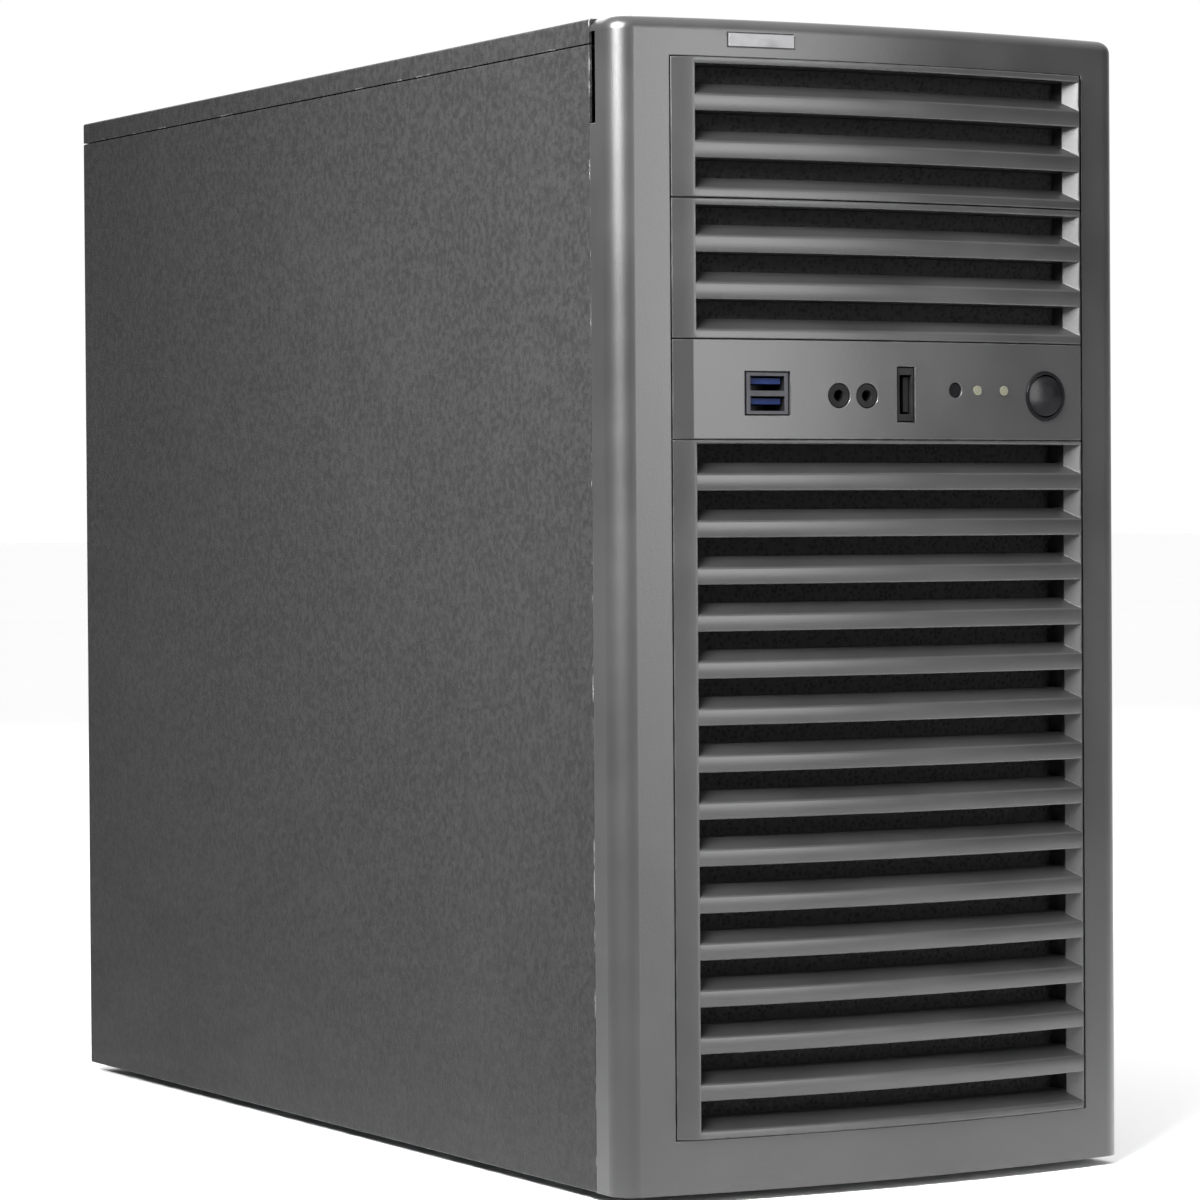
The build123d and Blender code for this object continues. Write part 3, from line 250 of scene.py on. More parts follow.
def circuit_board():
    """Green solder mask over copper: tracks, filled areas, through-holes and pale silk dashes."""
    s = Surface("circuit_board", ior=1.55, coat=0.25, coat_roughness=0.15)
    across = s.add("ShaderNodeCombineXYZ", {"X": s.axis("Y"), "Y": s.axis("Z"), "Z": 0.0}).outputs["Vector"]
    bends = {0: across, 1: s.cells(0.035, output="Color"), 2: (0.3, 0.7, 0.0)}
    bent = s.add("ShaderNodeVectorMath", bends, operation="MULTIPLY_ADD")
    tracks = s.add(
        "ShaderNodeTexWave", {"Vector": bent.outputs["Vector"], "Scale": 130.0, "Distortion": 0.0},
        bands_direction="DIAGONAL",
    ).outputs["Fac"]
    copper = s.math("MULTIPLY", s.spread(tracks, 0.55, 0.65), s.spread(s.noise(0.022, 2.0), 0.48, 0.52))
    pour = s.spread(s.cells(0.03, "DISTANCE_TO_EDGE"), 0.02, 0.03)
    holes = s.spread(s.cells(0.0062, vector=across), 0.11, 0.07)
    base = s.blend(pour, (0.004, 0.022, 0.012, 1), (0.006, 0.036, 0.018, 1))
    base = s.blend(copper, base, (0.012, 0.062, 0.028, 1))
    base = s.blend(holes, base, (0.42, 0.36, 0.22, 1))
    s.colour(base)
    s.roughness(s.spread(s.noise(0.01, 3.0), 0.3, 0.7, 0.28, 0.42))
    s.bump(s.math("ADD", copper, pour), 0.00004, 0.7)
    return s.material


def plated_metal(name, colour, roughness, grain=(1, 1, 0.04), cell=0.0004):
    """Bare or plated metal with directional grain and slight handling marks."""
    s = Surface(name, metallic=1.0, anisotropic=0.3)
    lines = s.noise(cell, 3.0, 0.6, s.stretched(grain))
    marks = s.spread(s.noise(0.009, 4.0), 0.45, 0.75)
    dark = tuple(0.72 * c for c in colour) + (1,)
    s.colour(s.blend(s.math("MULTIPLY", marks, 0.5), tuple(colour) + (1,), dark))
    worn = s.spread(marks, 0, 1, roughness, roughness + 0.1)
    s.roughness(s.math("ADD", s.math("MULTIPLY", lines, 0.14), worn))
    s.bump(lines, 0.00003, 0.4, rounded=0.0002)
    return s.material


def moulded_plastic(name, colour, roughness=0.4, cell=0.0004, depth=0.00003, specular=0.5):
    """Injection-moulded plastic with a light grain; cell and depth size the grain."""
    s = Surface(name, specular=specular)
    patch = s.noise(0.012, 4.0)
    lighter = tuple(min(1.0, 1.5 * c + 0.004) for c in colour) + (1,)
    s.colour(s.blend(s.spread(patch, 0.3, 0.75), tuple(colour) + (1,), lighter))
    s.roughness(s.spread(patch, 0.2, 0.8, roughness - 0.05, roughness + 0.07))
    s.bump(s.noise(cell, 2.0), depth, 0.6, rounded=0.0002)
    return s.material


def cast_alloy():
    """Sand-fine cast alloy of the drives, darker in its pores."""
    s = Surface("drive_casting", metallic=0.9)
    pores = s.noise(0.0007, 4.0, 0.65)
    s.colour(s.blend(s.spread(pores, 0.35, 0.6), (0.17, 0.175, 0.18, 1), (0.34, 0.345, 0.36, 1)))
    s.roughness(s.spread(pores, 0.3, 0.7, 0.52, 0.38))
    s.bump(pores, 0.00008, 0.7, rounded=0.0004)
    return s.material


def foam():
    """Open-cell black filter foam."""
    s = Surface("filter_foam", ior=1.3)
    pores = s.cells(0.0016)
    s.colour(s.blend(s.spread(pores, 0.2, 0.5), grey(0.002), grey(0.012)))
    s.roughness(s.spread(pores, 0.1, 0.6, 0.85, 1.0))
    s.bump(pores, 0.0006, 1.0)
    return s.material


def braided_sleeve():
    """Cable sleeve of crossing strands."""
    s = Surface("cable_sleeve", ior=1.45)
    left = s.noise(0.0011, 1.0, 0.3, s.stretched((1.0, 2.2, -1.4)))
    right = s.noise(0.0011, 1.0, 0.3, s.stretched((-1.6, 1.0, 2.2)))
    weave = s.math("MAXIMUM", left, right)
    s.colour(s.blend(s.spread(weave, 0.45, 0.65), grey(0.006), grey(0.035)))
    s.roughness(s.spread(weave, 0.4, 0.7, 0.6, 0.42))
    s.bump(weave, 0.0003, 0.9)
    return s.material


def lamp_lens():
    """Clear indicator lens with a frosted inside."""
    s = Surface("lamp_lens", ior=1.49, specular=0.25)
    frost = s.noise(0.0004, 3.0)
    s.colour(s.blend(frost, (0.07, 0.07, 0.052, 1), (0.11, 0.11, 0.082, 1)))
    s.roughness(s.spread(frost, 0.3, 0.7, 0.12, 0.25))
    s.shader.inputs["Transmission Weight"].default_value = 0.15
    s.bump(frost, 0.00002, 0.4)
    return s.material


def rubber():
    """Dull speckled rubber of the feet."""
    s = Surface("foot_rubber", ior=1.45)
    speck = s.noise(0.0009, 4.0)
    s.colour(s.blend(s.spread(speck, 0.4, 0.7), grey(0.012), grey(0.03)))
    s.roughness(s.spread(speck, 0.3, 0.7, 0.7, 0.85))
    s.bump(speck, 0.0001, 0.6)
    return s.material


MATERIALS = {
    "bezel_plastic": bezel_plastic(),
    "badge_metal": plated_metal("badge_metal", (0.15, 0.15, 0.155), 0.36, (0.04, 1, 1)),
    "filter_foam": foam(),
    "ring_plastic": moulded_plastic("ring_plastic", (0.002, 0.002, 0.0025), 0.16, specular=0.16),
    "lamp_lens": lamp_lens(),
    "side_paint": side_paint(),
    "galvanised_steel": galvanised_steel(),
    "circuit_board": circuit_board(),
    "port_steel": plated_metal("port_steel", (0.05, 0.05, 0.055), 0.34),
    "tongue_plastic": moulded_plastic("tongue_plastic", (0.002, 0.007, 0.034), 0.4, specular=0.1),
    "port_plastic": moulded_plastic("port_plastic", (0.004, 0.004, 0.004), 0.44, specular=0.06),
    "fan_plastic": moulded_plastic("fan_plastic", (0.012, 0.012, 0.013), 0.42, depth=0.00005),
    "guard_wire": plated_metal("guard_wire", (0.62, 0.62, 0.64), 0.16, (1, 1, 1), 0.0008),
    "heatsink_alloy": plated_metal("heatsink_alloy", (0.66, 0.67, 0.69), 0.30, (1, 0.03, 1)),
    "capacitor_sleeve": plated_metal("capacitor_sleeve", (0.36, 0.37, 0.42), 0.25, (1, 1, 1)),
    "drive_casting": cast_alloy(),
    "screw_steel": plated_metal("screw_steel", (0.50, 0.50, 0.52), 0.24, (1, 1, 1)),
    "brass_posts": plated_metal("brass_posts", (0.68, 0.50, 0.22), 0.24, (0.05, 1, 1)),
    "foot_rubber": rubber(),
    "cable_sleeve": braided_sleeve(),
}


def dress_cad_nodes():
    """Gives every CAD node the material of its slot in the record."""
    for row in frame["record"]["subparts"]:
        piece = nodes[row["node"]]
        material = MATERIALS[row["material_slot"]]
        for slot in piece.material_slots:
            slot.material = material


# ---- Mesh helpers ------------------------------------------------------------------------------
SHARP_ANGLE = math.radians(32)


def make_piece(name, mesh, body, slot, replaced=()):
    """Turns a bmesh into a piece that rides on a body and has its slot's material."""
    bmesh.ops.recalc_face_normals(mesh, faces=mesh.faces)
    for face in mesh.faces:
        face.smooth = True
    for edge in mesh.edges:
        edge.smooth = len(edge.link_faces) == 2 and edge.calc_face_angle() < SHARP_ANGLE
    data = bpy.data.meshes.new(name)
    mesh.to_mesh(data)
    mesh.free()
    piece = bpy.data.objects.new(name, data)
    bpy.context.scene.collection.objects.link(piece)
    data.materials.append(MATERIALS[slot])
    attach(piece, body)
    if replaced:
        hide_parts(*replaced)
    return piece


def add_block(mesh, low, high, rounding=0.0):
    """A block between two corners, with its edges rounded."""
    low, high = Vector(low), Vector(high)
    place = Matrix.Translation((low + high) / 2) @ Matrix.Diagonal((*(high - low), 1.0))
    corners = bmesh.ops.create_cube(mesh, size=1.0, matrix=place)["verts"]
    if rounding:
        edges = list({edge for corner in corners for edge in corner.link_edges})
        bmesh.ops.bevel(mesh, geom=edges, offset=rounding, segments=2, affect="EDGES", profile=0.6)


def add_lathe(mesh, profile, place, segments=48):
    """A turned shape from (radius, height) points about a place's Z axis."""
    rings = []
    for radius, height in profile:
        count = segments if radius else 1
        turns = [2 * math.pi * index / segments for index in range(count)]
        points = [Vector((radius * math.cos(turn), radius * math.sin(turn), height)) for turn in turns]
        rings.append([mesh.verts.new(place @ point) for point in points])
    for lower, upper in zip(rings[:-1], rings[1:]):
        for index in range(segments):
            after = (index + 1) % segments
            if len(lower) == 1:
                mesh.faces.new((lower[0], upper[index], upper[after]))
            elif len(upper) == 1:
                mesh.faces.new((lower[index], lower[after], upper[0]))
            else:
                mesh.faces.new((lower[index], lower[after], upper[after], upper[index]))


# ---- Fan rotors --------------------------------------------------------------------------------
BLADES = 7
BLADE_THICKNESS = 1.3 * MM
BLADE_CHORD = math.radians(46)
CHORD_LOSS = math.radians(7)
TIP_LEAN = math.radians(20)
BLADE_START = 0.07
BLADE_RISE = 0.82
BLADE_CAMBER = 0.045
RADIAL_STEPS = 9
CHORD_STEPS = 12
HUB_RIM = 1.6 * MM
HUB_RIM_STEPS = 5
HUB_DISH = 0.4 * MM
TIP_GAP = 0.4 * MM
STANDING = {
    "Y": Matrix.Rotation(math.radians(90), 4, "X"),
    "X": Matrix.Rotation(math.radians(-90), 4, "Y"),
}


def add_blade(mesh, place, turn, root, tip, height):
    """A cambered blade that leans forward towards its tip, as a closed shell of two skins."""
    skins = []
    for side in (1, -1):
        skin = []
        for row in range(RADIAL_STEPS + 1):
            out = row / RADIAL_STEPS
            radius = root + (tip - root) * out
            chord = BLADE_CHORD - CHORD_LOSS * out
            line = []
            for column in range(CHORD_STEPS + 1):
                along = column / CHORD_STEPS
                swell = math.sin(math.pi * along)
                angle = turn + TIP_LEAN * out ** 1.6 + chord * (along - 0.5)
                rise = height * (BLADE_START + BLADE_RISE * along + BLADE_CAMBER * swell)
                thick = BLADE_THICKNESS * (0.3 + 0.7 * swell ** 0.6)
                pitch = math.atan2(BLADE_RISE * height, radius * chord)
                angle -= side * thick / 2 * math.sin(pitch) / radius
                rise += side * thick / 2 * math.cos(pitch)
                point = Vector((radius * math.cos(angle), radius * math.sin(angle), rise))
                line.append(mesh.verts.new(place @ point))
            skin.append(line)
        skins.append(skin)
    for skin in skins:
        for near, far in zip(skin[:-1], skin[1:]):
            for column in range(CHORD_STEPS):
                mesh.faces.new((near[column], near[column + 1], far[column + 1], far[column]))
    upper, lower = skins
    for edge in (0, CHORD_STEPS):
        for row in range(RADIAL_STEPS):
            mesh.faces.new((upper[row][edge], upper[row + 1][edge], lower[row + 1][edge], lower[row][edge]))
    for row in (0, RADIAL_STEPS):
        above, below = upper[row], lower[row]
        for column in range(CHORD_STEPS):
            mesh.faces.new((above[column], above[column + 1], below[column + 1], below[column]))


def add_rotor(name, body, axis, hub):
    """Hub and curved blades in place of a fan's plain rotor, which turns about the X or Y axis."""
    low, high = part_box(f"{name}_rotor")
    across = max(high.z - low.z, high.y - low.y)
    index = "XY".index(axis)
    height = high[index] - low[index]
    start = centre_of(f"{name}_frame")
    start[index] = high[index]
    place = Matrix.Translation(start) @ STANDING[axis]
    mesh = bmesh.new()
    profile = [(0, 0), (hub, 0), (hub, height - HUB_RIM)]
    for step in range(1, HUB_RIM_STEPS + 1):
        turn = math.radians(90 * step / HUB_RIM_STEPS)
        profile.append((hub - HUB_RIM * (1 - math.cos(turn)), height - HUB_RIM * (1 - math.sin(turn))))
    profile += [(0.62 * hub, height), (0.58 * hub, height - HUB_DISH), (0, height - HUB_DISH)]
    add_lathe(mesh, profile, place)
    for blade in range(BLADES):
        add_blade(mesh, place, 2 * math.pi * blade / BLADES, hub - MM, across / 2 - TIP_GAP, height)
    make_piece(f"{name}_blades", mesh, body, "fan_plastic", (f"{name}_rotor",))


# ---- Louvred front pieces ----------------------------------------------------------------------
SLOT_END_BEVEL = 4.2 * MM
EDGE_DROP = 1.6 * MM
FACE_EASE = 0.3 * MM
COLUMNS = 72
WELD = 0.002 * MM
# A slot's outline as (depth, rise from the lip) in millimetres. It starts and ends before the face.
BEFORE = -3.0
ON_FACE = -0.02
BEVEL_DEPTH = SLOT_END_BEVEL / MM
SLOT_TOP = ((BEFORE, 3.5), (ON_FACE, 3.5), (0.08, 3.25), (0.3, 3.06), (0.7, 3.0), (BEVEL_DEPTH, 3.0))
SLOT_LIP = (
    (5.5, -2.75), (BEVEL_DEPTH, -3.58), (0.65, -5.85), (0.25, -6.15), (0.06, -6.45), (ON_FACE, -6.8),
    (BEFORE, -6.8),
)
SLOT_BACK = (3.0, -2.75)
BEVEL_CORNERS = (5, 9)


def add_sweep(mesh, sections):
    """A closed shell through equal rings of points, capped at both ends."""
    rings = [[mesh.verts.new(point) for point in section] for section in sections]
    for near, far in zip(rings[:-1], rings[1:]):
        for index in range(len(near)):
            after = (index + 1) % len(near)
            mesh.faces.new((near[index], near[after], far[after], far[index]))
    mesh.faces.new(rings[0])
    mesh.faces.new(list(reversed(rings[-1])))
    bmesh.ops.recalc_face_normals(mesh, faces=mesh.faces)
    return rings


def slot_section(share, lip, slot_depth):
    """The outline of one slot's space at a share of the way from its left end to its bevelled right end."""
    outline = SLOT_TOP + tuple((slot_depth / MM, rise) for rise in SLOT_BACK) + SLOT_LIP
    points = []
    for depth, rise in outline:
        depth = depth * MM
        right = SLOT_RIGHT - min(max(depth, 0.0), SLOT_END_BEVEL)
        x = SLOT_LEFT + (right - SLOT_LEFT) * share
        points.append(Vector((x, bow_y(x, depth), lip + rise * MM)))
    return points


def body_section(x, low, high, depth):
    """The outline of the piece itself at an X, with its side edges turned back."""
    turned = max(0.0, (FASCIA_LOW.x + EDGE_LEFT - x) / EDGE_LEFT, (x - SLOT_RIGHT) / EDGE_RIGHT)
    front = bow_y(x) + EDGE_DROP * turned
    eased = front + FACE_EASE
    back = bow_y(x, depth)
    outline = (
        (eased, low), (front, low + FACE_EASE), (front, high - FACE_EASE),
        (eased, high), (back, high), (back, low),
    )
    return [Vector((x, y, z)) for y, z in outline]


def add_louvred_piece(name, node, top_lip, count, depth, slot_depth):
    """A bowed block with sloped louvre slots cut into it, in place of its plain CAD node."""
    low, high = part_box(node)
    whole = bmesh.new()
    flat = low.x + EDGE_LEFT
    stations = [flat + (SLOT_RIGHT - flat) * step / COLUMNS for step in range(COLUMNS + 1)]
    add_sweep(whole, [body_section(x, low.z, high.z, depth) for x in (low.x, *stations, high.x)])
    cutter = bmesh.new()
    for louvre in range(count):
        lip = top_lip - louvre * LOUVRE_PITCH
        sections = [slot_section(step / COLUMNS, lip, slot_depth) for step in range(COLUMNS + 1)]
        end = add_sweep(cutter, sections)[-1]
        bmesh.ops.connect_verts(cutter, verts=[end[corner] for corner in BEVEL_CORNERS])
    pieces = []
    for part_name, mesh in ((name, whole), (f"{name}_cutter", cutter)):
        data = bpy.data.meshes.new(part_name)
        mesh.to_mesh(data)
        mesh.free()
        piece = bpy.data.objects.new(part_name, data)
        bpy.context.scene.collection.objects.link(piece)
        pieces.append(piece)
    block, tool = pieces
    cut = block.modifiers.new("slots", "BOOLEAN")
    cut.operation = "DIFFERENCE"
    cut.solver = "EXACT"
    cut.object = tool
    evaluated = block.evaluated_get(bpy.context.evaluated_depsgraph_get())
    result = bmesh.new()
    result.from_mesh(evaluated.to_mesh())
    for piece in pieces:
        bpy.data.objects.remove(piece)
    bmesh.ops.remove_doubles(result, verts=result.verts, dist=WELD)
    make_piece(name, result, "bezel", "bezel_plastic", (node,))


BAY_SLOTS = 3
FOAM_FRONT = 9.4 * MM
FOAM_BACK = 11.8 * MM
FOAM_LOW = -2.6 * MM
FOAM_HIGH = 2.8 * MM
FOAM_COLUMNS = 90
FOAM_ROWS = 5
FOAM_BUMP = 0.35 * MM
FOAM_CELL = 1.4 * MM


def add_bay_shade_foam(name, top_lip):
    """A bumpy strip of black foam at the back of each slot of a bay cover, partly a real filter and partly
    a dark sheet that stands in for the slots' shade.
    """
    left = SLOT_LEFT + 0.2 * MM
    right = SLOT_RIGHT - SLOT_END_BEVEL - 0.4 * MM
    mesh = bmesh.new()
    for louvre in range(BAY_SLOTS):
        lip = top_lip - louvre * LOUVRE_PITCH
        sections = []
        for column in range(FOAM_COLUMNS + 1):
            x = left + (right - left) * column / FOAM_COLUMNS
            section = []
            for row in range(FOAM_ROWS + 1):
                z = lip + FOAM_LOW + (FOAM_HIGH - FOAM_LOW) * row / FOAM_ROWS
                rough = FOAM_BUMP * noise.noise(Vector((x, z, top_lip)) / FOAM_CELL)
                section.append(Vector((x, bow_y(x) + FOAM_FRONT + rough, z)))
            section.append(Vector((x, bow_y(x) + FOAM_BACK, lip + FOAM_HIGH)))
            section.append(Vector((x, bow_y(x) + FOAM_BACK, lip + FOAM_LOW)))
            sections.append(section)
        add_sweep(mesh, sections)
    make_piece(name, mesh, "bezel", "filter_foam")


GRILLE_SLOTS = 15
GRILLE_LIP_DROP = 4.2 * MM
BAY_LIP_DROP = 5.05 * MM


def add_front():
    """The grille and both bay covers, with foam behind the covers' slots that also stands in for their
    shade.
    """
    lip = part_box("bezel_grille")[1].z - GRILLE_LIP_DROP
    add_louvred_piece("grille_louvres", "bezel_grille", lip, GRILLE_SLOTS, 12 * MM, 15 * MM)
    for level in ("upper", "lower"):
        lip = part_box(f"bay_cover_{level}")[1].z - BAY_LIP_DROP
        add_louvred_piece(f"bay_louvres_{level}", f"bay_cover_{level}", lip, BAY_SLOTS, 14 * MM, 12 * MM)
        # Black foam strips, partly a filter and partly standing in for the shade at the back of the slots.
        add_bay_shade_foam(f"bay_shade_foam_{level}", lip)


# ---- Parts on the motherboard ------------------------------------------------------------------
BOARD_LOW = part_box("motherboard")[0]
BOARD_FACE = BOARD_LOW.x
LEAD_PITCH = 0.8
LEAD_REACH = 0.9
LEAD_WIDTH = 0.36
LEAD_HEIGHT = 0.7


class Board:
    """Places parts on the board's face, by Y and Z from its lower front corner in millimetres."""

    def __init__(self):
        self.used = []
        self.packages = bmesh.new()
        self.leads = bmesh.new()

    def free(self, y, z, wide, tall, gap=0.6):
        """Takes the space for a part, and says whether it was free."""
        box = (y - wide / 2 - gap, y + wide / 2 + gap, z - tall / 2 - gap, z + tall / 2 + gap)
        clash = any(box[0] < b[1] and b[0] < box[1] and box[2] < b[3] and b[2] < box[3] for b in self.used)
        if not clash:
            self.used.append(box)
        return not clash

    def place(self, height, y, z):
        """A point on or above the board's face."""
        return Vector((BOARD_FACE - height * MM, BOARD_LOW.y + y * MM, BOARD_LOW.z + z * MM))

    def block(self, mesh, y, z, wide, tall, low, high, rounding=0.0):
        """A block on the board, from its middle, size and heights above the face."""
        corner = self.place(high, y - wide / 2, z - tall / 2)
        size = Vector((high - low, wide, tall)) * MM
        add_block(mesh, corner, corner + size, rounding * MM)

    def chip(self, y, z, side, tall=None, height=1.4, quad=True):
        """A moulded package with gull leads on two or four sides."""
        tall = tall or side
        self.free(y, z, side + 3, tall + 3)
        self.block(self.packages, y, z, side, tall, 0.15, height, 0.18)
        for index in range(int((tall - 1) / LEAD_PITCH)):
            lead_z = z - tall / 2 + LEAD_REACH + index * LEAD_PITCH
            for sign in (-1, 1):
                lead_y = y + sign * (side / 2 + 0.35)
                self.block(self.leads, lead_y, lead_z, LEAD_REACH, LEAD_WIDTH, 0.0, LEAD_HEIGHT)
        if quad:
            for index in range(int((side - 1) / LEAD_PITCH)):
                lead_y = y - side / 2 + LEAD_REACH + index * LEAD_PITCH
                for sign in (-1, 1):
                    lead_z = z + sign * (tall / 2 + 0.35)
                    self.block(self.leads, lead_y, lead_z, LEAD_WIDTH, LEAD_REACH, 0.0, LEAD_HEIGHT)

    def small_part(self, y, z, wide, tall, height):
        """A ceramic chip part with metal ends."""
        if not self.free(y, z, wide, tall):
            return
        self.block(self.packages, y, z, 0.6 * wide, 0.94 * tall, 0.0, 0.94 * height)
        for sign in (-1, 1):
            self.block(self.leads, y + sign * 0.4 * wide, z, 0.2 * wide, tall, 0.0, height)


# Places on the board are Y and Z in millimetres from its lower front corner.
QUAD_CHIPS = ((100, 96, 14), (206, 114, 10), (204, 22, 7), (60, 20, 12), (100, 160, 9))
SMALL_CHIPS = ((34, 24), (140, 96), (150, 96), (108, 200))
POWER_STAGES = 9
POWER_STAGE_PITCH = 9
CHOKE_SIDE = 7.4
OPEN_AREAS = (
    (82, 117, 84, 135), (82, 117, 148, 226), (124, 200, 84, 136), (30, 86, 6, 34), (190, 222, 6, 84),
)
SMALL_PART_SIZES = ((1.6, 0.8, 0.5), (2.0, 1.25, 0.8), (3.2, 1.6, 1.4))
AREA_PER_SMALL_PART = 16
PIN_HEADERS = ((96, 5), (118, 8), (146, 6), (172, 5))
PIN_PITCH = 2.54
PIN_SIDE = 0.64
CELL_PROFILE = (
    (0, 1.0), (8.6, 1.0), (10.0, 1.6), (10.0, 3.6), (9.4, 4.2), (8.8, 4.2), (8.5, 3.9), (0, 3.9),
)


def add_small_parts(board):
    """Scatters ceramic chip parts over the board's open areas."""
    chance = random.Random(11)
    for low_y, high_y, low_z, high_z in OPEN_AREAS:
        for _ in range(int((high_y - low_y) * (high_z - low_z) / AREA_PER_SMALL_PART)):
            y = chance.uniform(low_y, high_y)
            z = chance.uniform(low_z, high_z)
            wide, tall, height = chance.choice(SMALL_PART_SIZES)
            if chance.random() < 0.5:
                wide, tall = tall, wide
            board.small_part(y, z, wide, tall, height)


def add_board_parts():
    """Chips, power stages with chokes, chip parts, pin headers and the coin cell."""
    board = Board()
    for y, z, side in QUAD_CHIPS:
        board.chip(y, z, side)
    for y, z in SMALL_CHIPS:
        board.chip(y, z, 4, 5, quad=False)
    for index in range(POWER_STAGES):
        z = 138 + POWER_STAGE_PITCH * index
        board.chip(204.5, z, 4.6, 5.2, 1.0, quad=False)
        board.free(221.5, z, CHOKE_SIDE, CHOKE_SIDE)
        board.block(board.packages, 221.5, z, 7.0, CHOKE_SIDE, 0.3, 5.5, 0.7)
    add_small_parts(board)
    make_piece("board_chips", board.packages, "chassis", "port_plastic")
    make_piece("board_leads", board.leads, "chassis", "screw_steel")
    pins = bmesh.new()
    for start, count in PIN_HEADERS:
        for index in range(count):
            for row in (0, 1):
                y = start + PIN_PITCH * index
                board.block(pins, y, 3.2 + PIN_PITCH * row, PIN_SIDE, PIN_SIDE, 0.0, 8.5, 0.12)
    make_piece("board_pins", pins, "chassis", "brass_posts")
    cell = bmesh.new()
    place = Matrix.Translation(board.place(0, 104, 122)) @ STANDING["X"]
    add_lathe(cell, [(radius * MM, height * MM) for radius, height in CELL_PROFILE], place)
    make_piece("board_cell", cell, "chassis", "guard_wire")


PLUG_HALF = (5.0, 4.2, 25.0)
PLUG_RIBS = 12
PLUG_RIB_HALF = (4.2, 0.5, 1.2)
PLUG_RIB_PITCH = 4.0


def add_power_plug():
    """A ribbed plug where the main power cable meets its header on the board."""
    power_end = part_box("main_power_cable")[1]
    middle = Vector((power_end.x - 5 * MM, BOARD_LOW.y + 10.5 * MM, BOARD_LOW.z + 198 * MM))
    mesh = bmesh.new()
    half = Vector(PLUG_HALF) * MM
    far = half - Vector((0.1, 0, 0)) * MM
    add_block(mesh, middle - half, middle + far, 0.6 * MM)
    half = Vector(PLUG_RIB_HALF) * MM
    for index in range(PLUG_RIBS):
        rise = (index - (PLUG_RIBS - 1) / 2) * PLUG_RIB_PITCH
        rib = middle + Vector((0, -4.5, rise)) * MM
        add_block(mesh, rib - half, rib + half, 0.2 * MM)
    make_piece("main_power_plug", mesh, "chassis", "tongue_plastic")


# ---- Room, lights and camera -------------------------------------------------------------------
CAMERA_AZIMUTH = -28.99
CAMERA_PITCH = -0.95
CAMERA_ROLL = -0.38
CAMERA_DISTANCE = 1.4175
CAMERA_SHIFT = -0.0862
CAMERA_HEIGHT = 0.2076
CAMERA_LENS = 136.0
SENSOR_WIDTH = 36.0
FLOOR_HALF = 60.0
BACKDROP_DIRECTION = (0.485, 0.875, 0.0)
WALL_LIGHT = 0.20
BACKDROP_LIGHT = 1.02
CEILING_LIGHT = 1.48


def add_camera():
    """The camera in front at the left, just above the middle of the tower's height."""
    data = bpy.data.cameras.new("camera")
    data.lens = CAMERA_LENS
    data.sensor_width = SENSOR_WIDTH
    data.clip_start = 0.05
    camera = bpy.data.objects.new("camera", data)
    bpy.context.scene.collection.objects.link(camera)
    yaw = math.radians(-CAMERA_AZIMUTH)
    forward = Vector((math.sin(yaw), math.cos(yaw), math.tan(math.radians(CAMERA_PITCH)))).normalized()
    right = Vector((math.cos(yaw), -math.sin(yaw), 0))
    front_middle = Vector((0, FIELD_CORNER, 0))
    place = front_middle - CAMERA_DISTANCE * forward + CAMERA_SHIFT * right
    place.z = CAMERA_HEIGHT
    rotation = forward.to_track_quat("-Z", "Y").to_matrix()
    roll = Matrix.Rotation(math.radians(CAMERA_ROLL), 3, "Z")
    camera.matrix_world = Matrix.Translation(place) @ (rotation @ roll).to_4x4()
    bpy.context.scene.camera = camera


def add_area(name, place, target, size, power, spread=180.0):
    """A rectangular softbox aimed at a target, with its spread in degrees."""
    data = bpy.data.lights.new(name, "AREA")
    data.shape = "RECTANGLE"
    data.spread = math.radians(spread)
    data.size = size[0]
    data.size_y = size[1]
    data.energy = power
    light = bpy.data.objects.new(name, data)
    direction = Vector(target) - Vector(place)
    light.matrix_world = Matrix.Translation(place) @ direction.to_track_quat("-Z", "Y").to_matrix().to_4x4()
    bpy.context.scene.collection.objects.link(light)


def add_floor():
    """A pale matt floor out to the horizon."""
    surface = Surface("pale_floor", ior=1.4)
    soft = surface.noise(0.6, 2.0)
    surface.colour(surface.blend(soft, (0.83, 0.83, 0.83, 1), (0.86, 0.86, 0.86, 1)))
    surface.roughness(surface.spread(soft, 0, 1, 0.7, 0.8))
    mesh = bpy.data.meshes.new("floor")
    corners = [(x * FLOOR_HALF, y * FLOOR_HALF, 0) for x, y in ((-1, -1), (1, -1), (1, 1), (-1, 1))]
    mesh.from_pydata(corners, [], [(0, 1, 2, 3)])
    floor = bpy.data.objects.new("floor", mesh)
    floor.data.materials.append(surface.material)
    bpy.context.scene.collection.objects.link(floor)


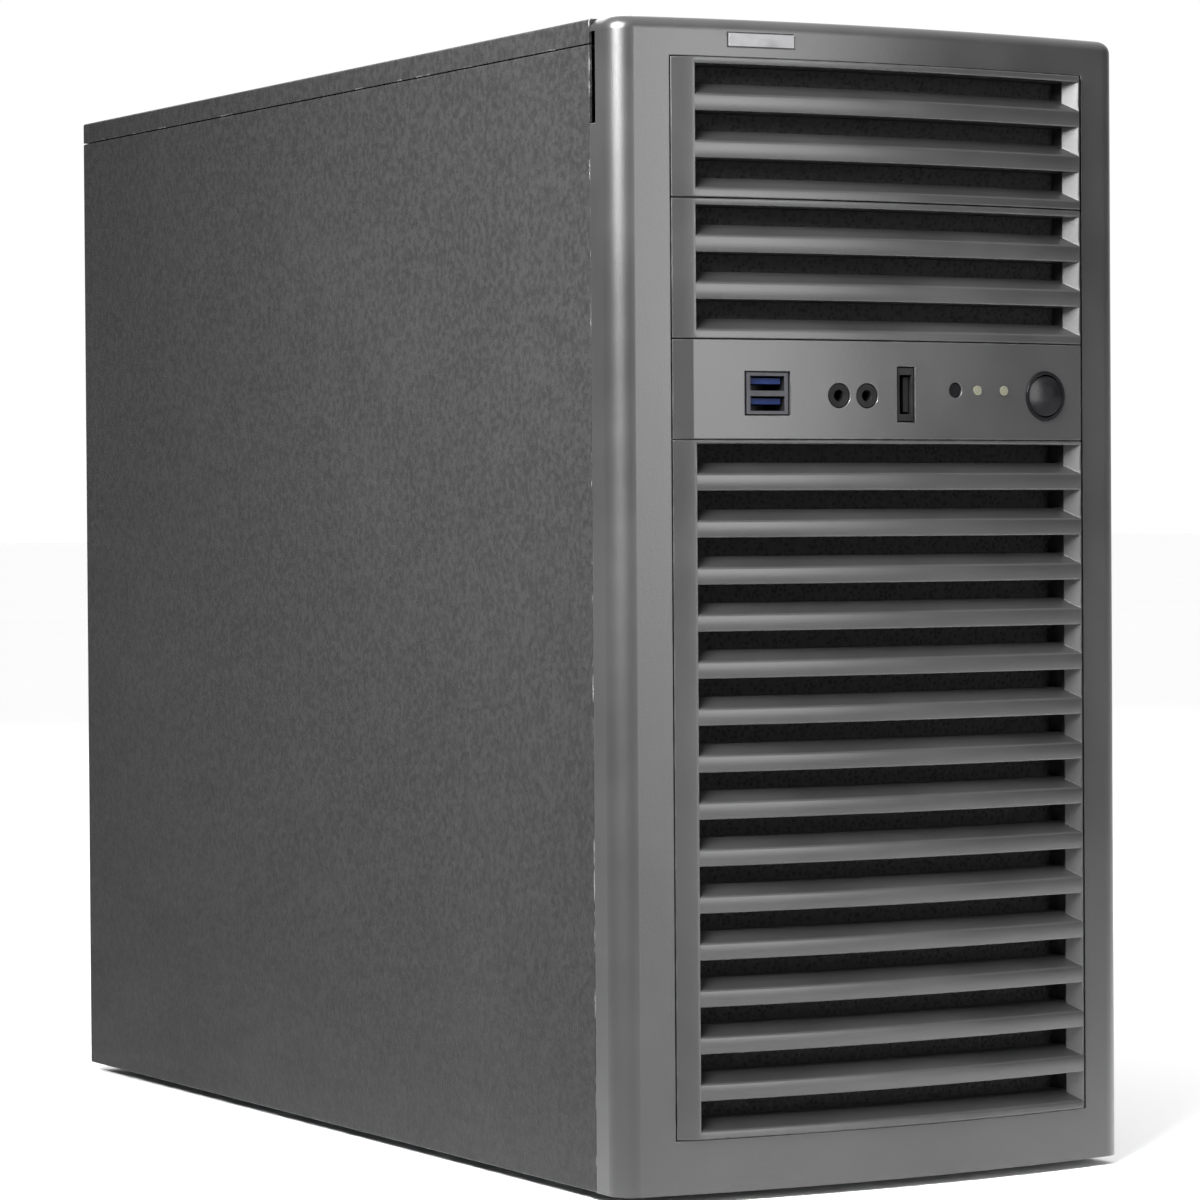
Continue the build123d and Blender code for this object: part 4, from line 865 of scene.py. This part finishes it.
def add_world():
    """A pale studio: dim walls, a bright backdrop behind the object and a bright ceiling."""
    world = bpy.data.worlds.new("studio")
    bpy.context.scene.world = world
    world.use_nodes = True
    tree = world.node_tree
    place = tree.nodes.new("ShaderNodeTexCoord").outputs["Generated"]

    def ramp(direction, low, high, top):
        towards = tree.nodes.new("ShaderNodeVectorMath")
        towards.operation = "DOT_PRODUCT"
        towards.inputs[1].default_value = direction
        tree.links.new(place, towards.inputs[0])
        spread = tree.nodes.new("ShaderNodeMapRange")
        spread.interpolation_type = "SMOOTHSTEP"
        for name, value in (("From Min", low), ("From Max", high), ("To Min", 0.0), ("To Max", top)):
            spread.inputs[name].default_value = value
        tree.links.new(towards.outputs["Value"], spread.inputs["Value"])
        return spread.outputs["Result"]

    backdrop = ramp(BACKDROP_DIRECTION, 0.55, 0.9, BACKDROP_LIGHT - WALL_LIGHT)
    ceiling = ramp((0.0, 0.0, 1.0), 0.25, 1.0, CEILING_LIGHT)
    total = tree.nodes.new("ShaderNodeMath")
    tree.links.new(backdrop, total.inputs[0])
    tree.links.new(ceiling, total.inputs[1])
    strength = tree.nodes.new("ShaderNodeMath")
    tree.links.new(total.outputs[0], strength.inputs[0])
    strength.inputs[1].default_value = WALL_LIGHT
    tree.links.new(strength.outputs[0], tree.nodes["Background"].inputs["Strength"])
    tree.nodes["Background"].inputs["Color"].default_value = (1.0, 1.0, 1.0, 1)


def add_lights():
    """A wide softbox in front, a smaller one at the front left, and a large one behind."""
    middle = (cad_high.z - cad_low.z) / 2
    add_area("front_softbox", (0.56, -2.2, 0.54), (0, -0.2, middle), (0.80, 0.95), 6.6, 100)
    add_area("side_softbox", (-0.62, -0.50, 0.70), (-0.09, -0.27, 0.38), (0.60, 0.50), 10.5, 58)
    add_area("rear_softbox", (0.6, 2.4, 1.5), (0, 0.2, middle), (1.6, 1.2), 18)


dress_cad_nodes()
add_rotor("rear_fan", "rear_fan", "Y", 19.5 * MM)
add_rotor("psu_fan", "supply_fan", "Y", 16.5 * MM)
add_rotor("cpu_fan", "processor_fan", "X", 15.5 * MM)
add_front()
add_board_parts()
add_power_plug()
add_camera()
add_floor()
add_world()
add_lights()
bpy.context.scene.view_settings.view_transform = "Standard"
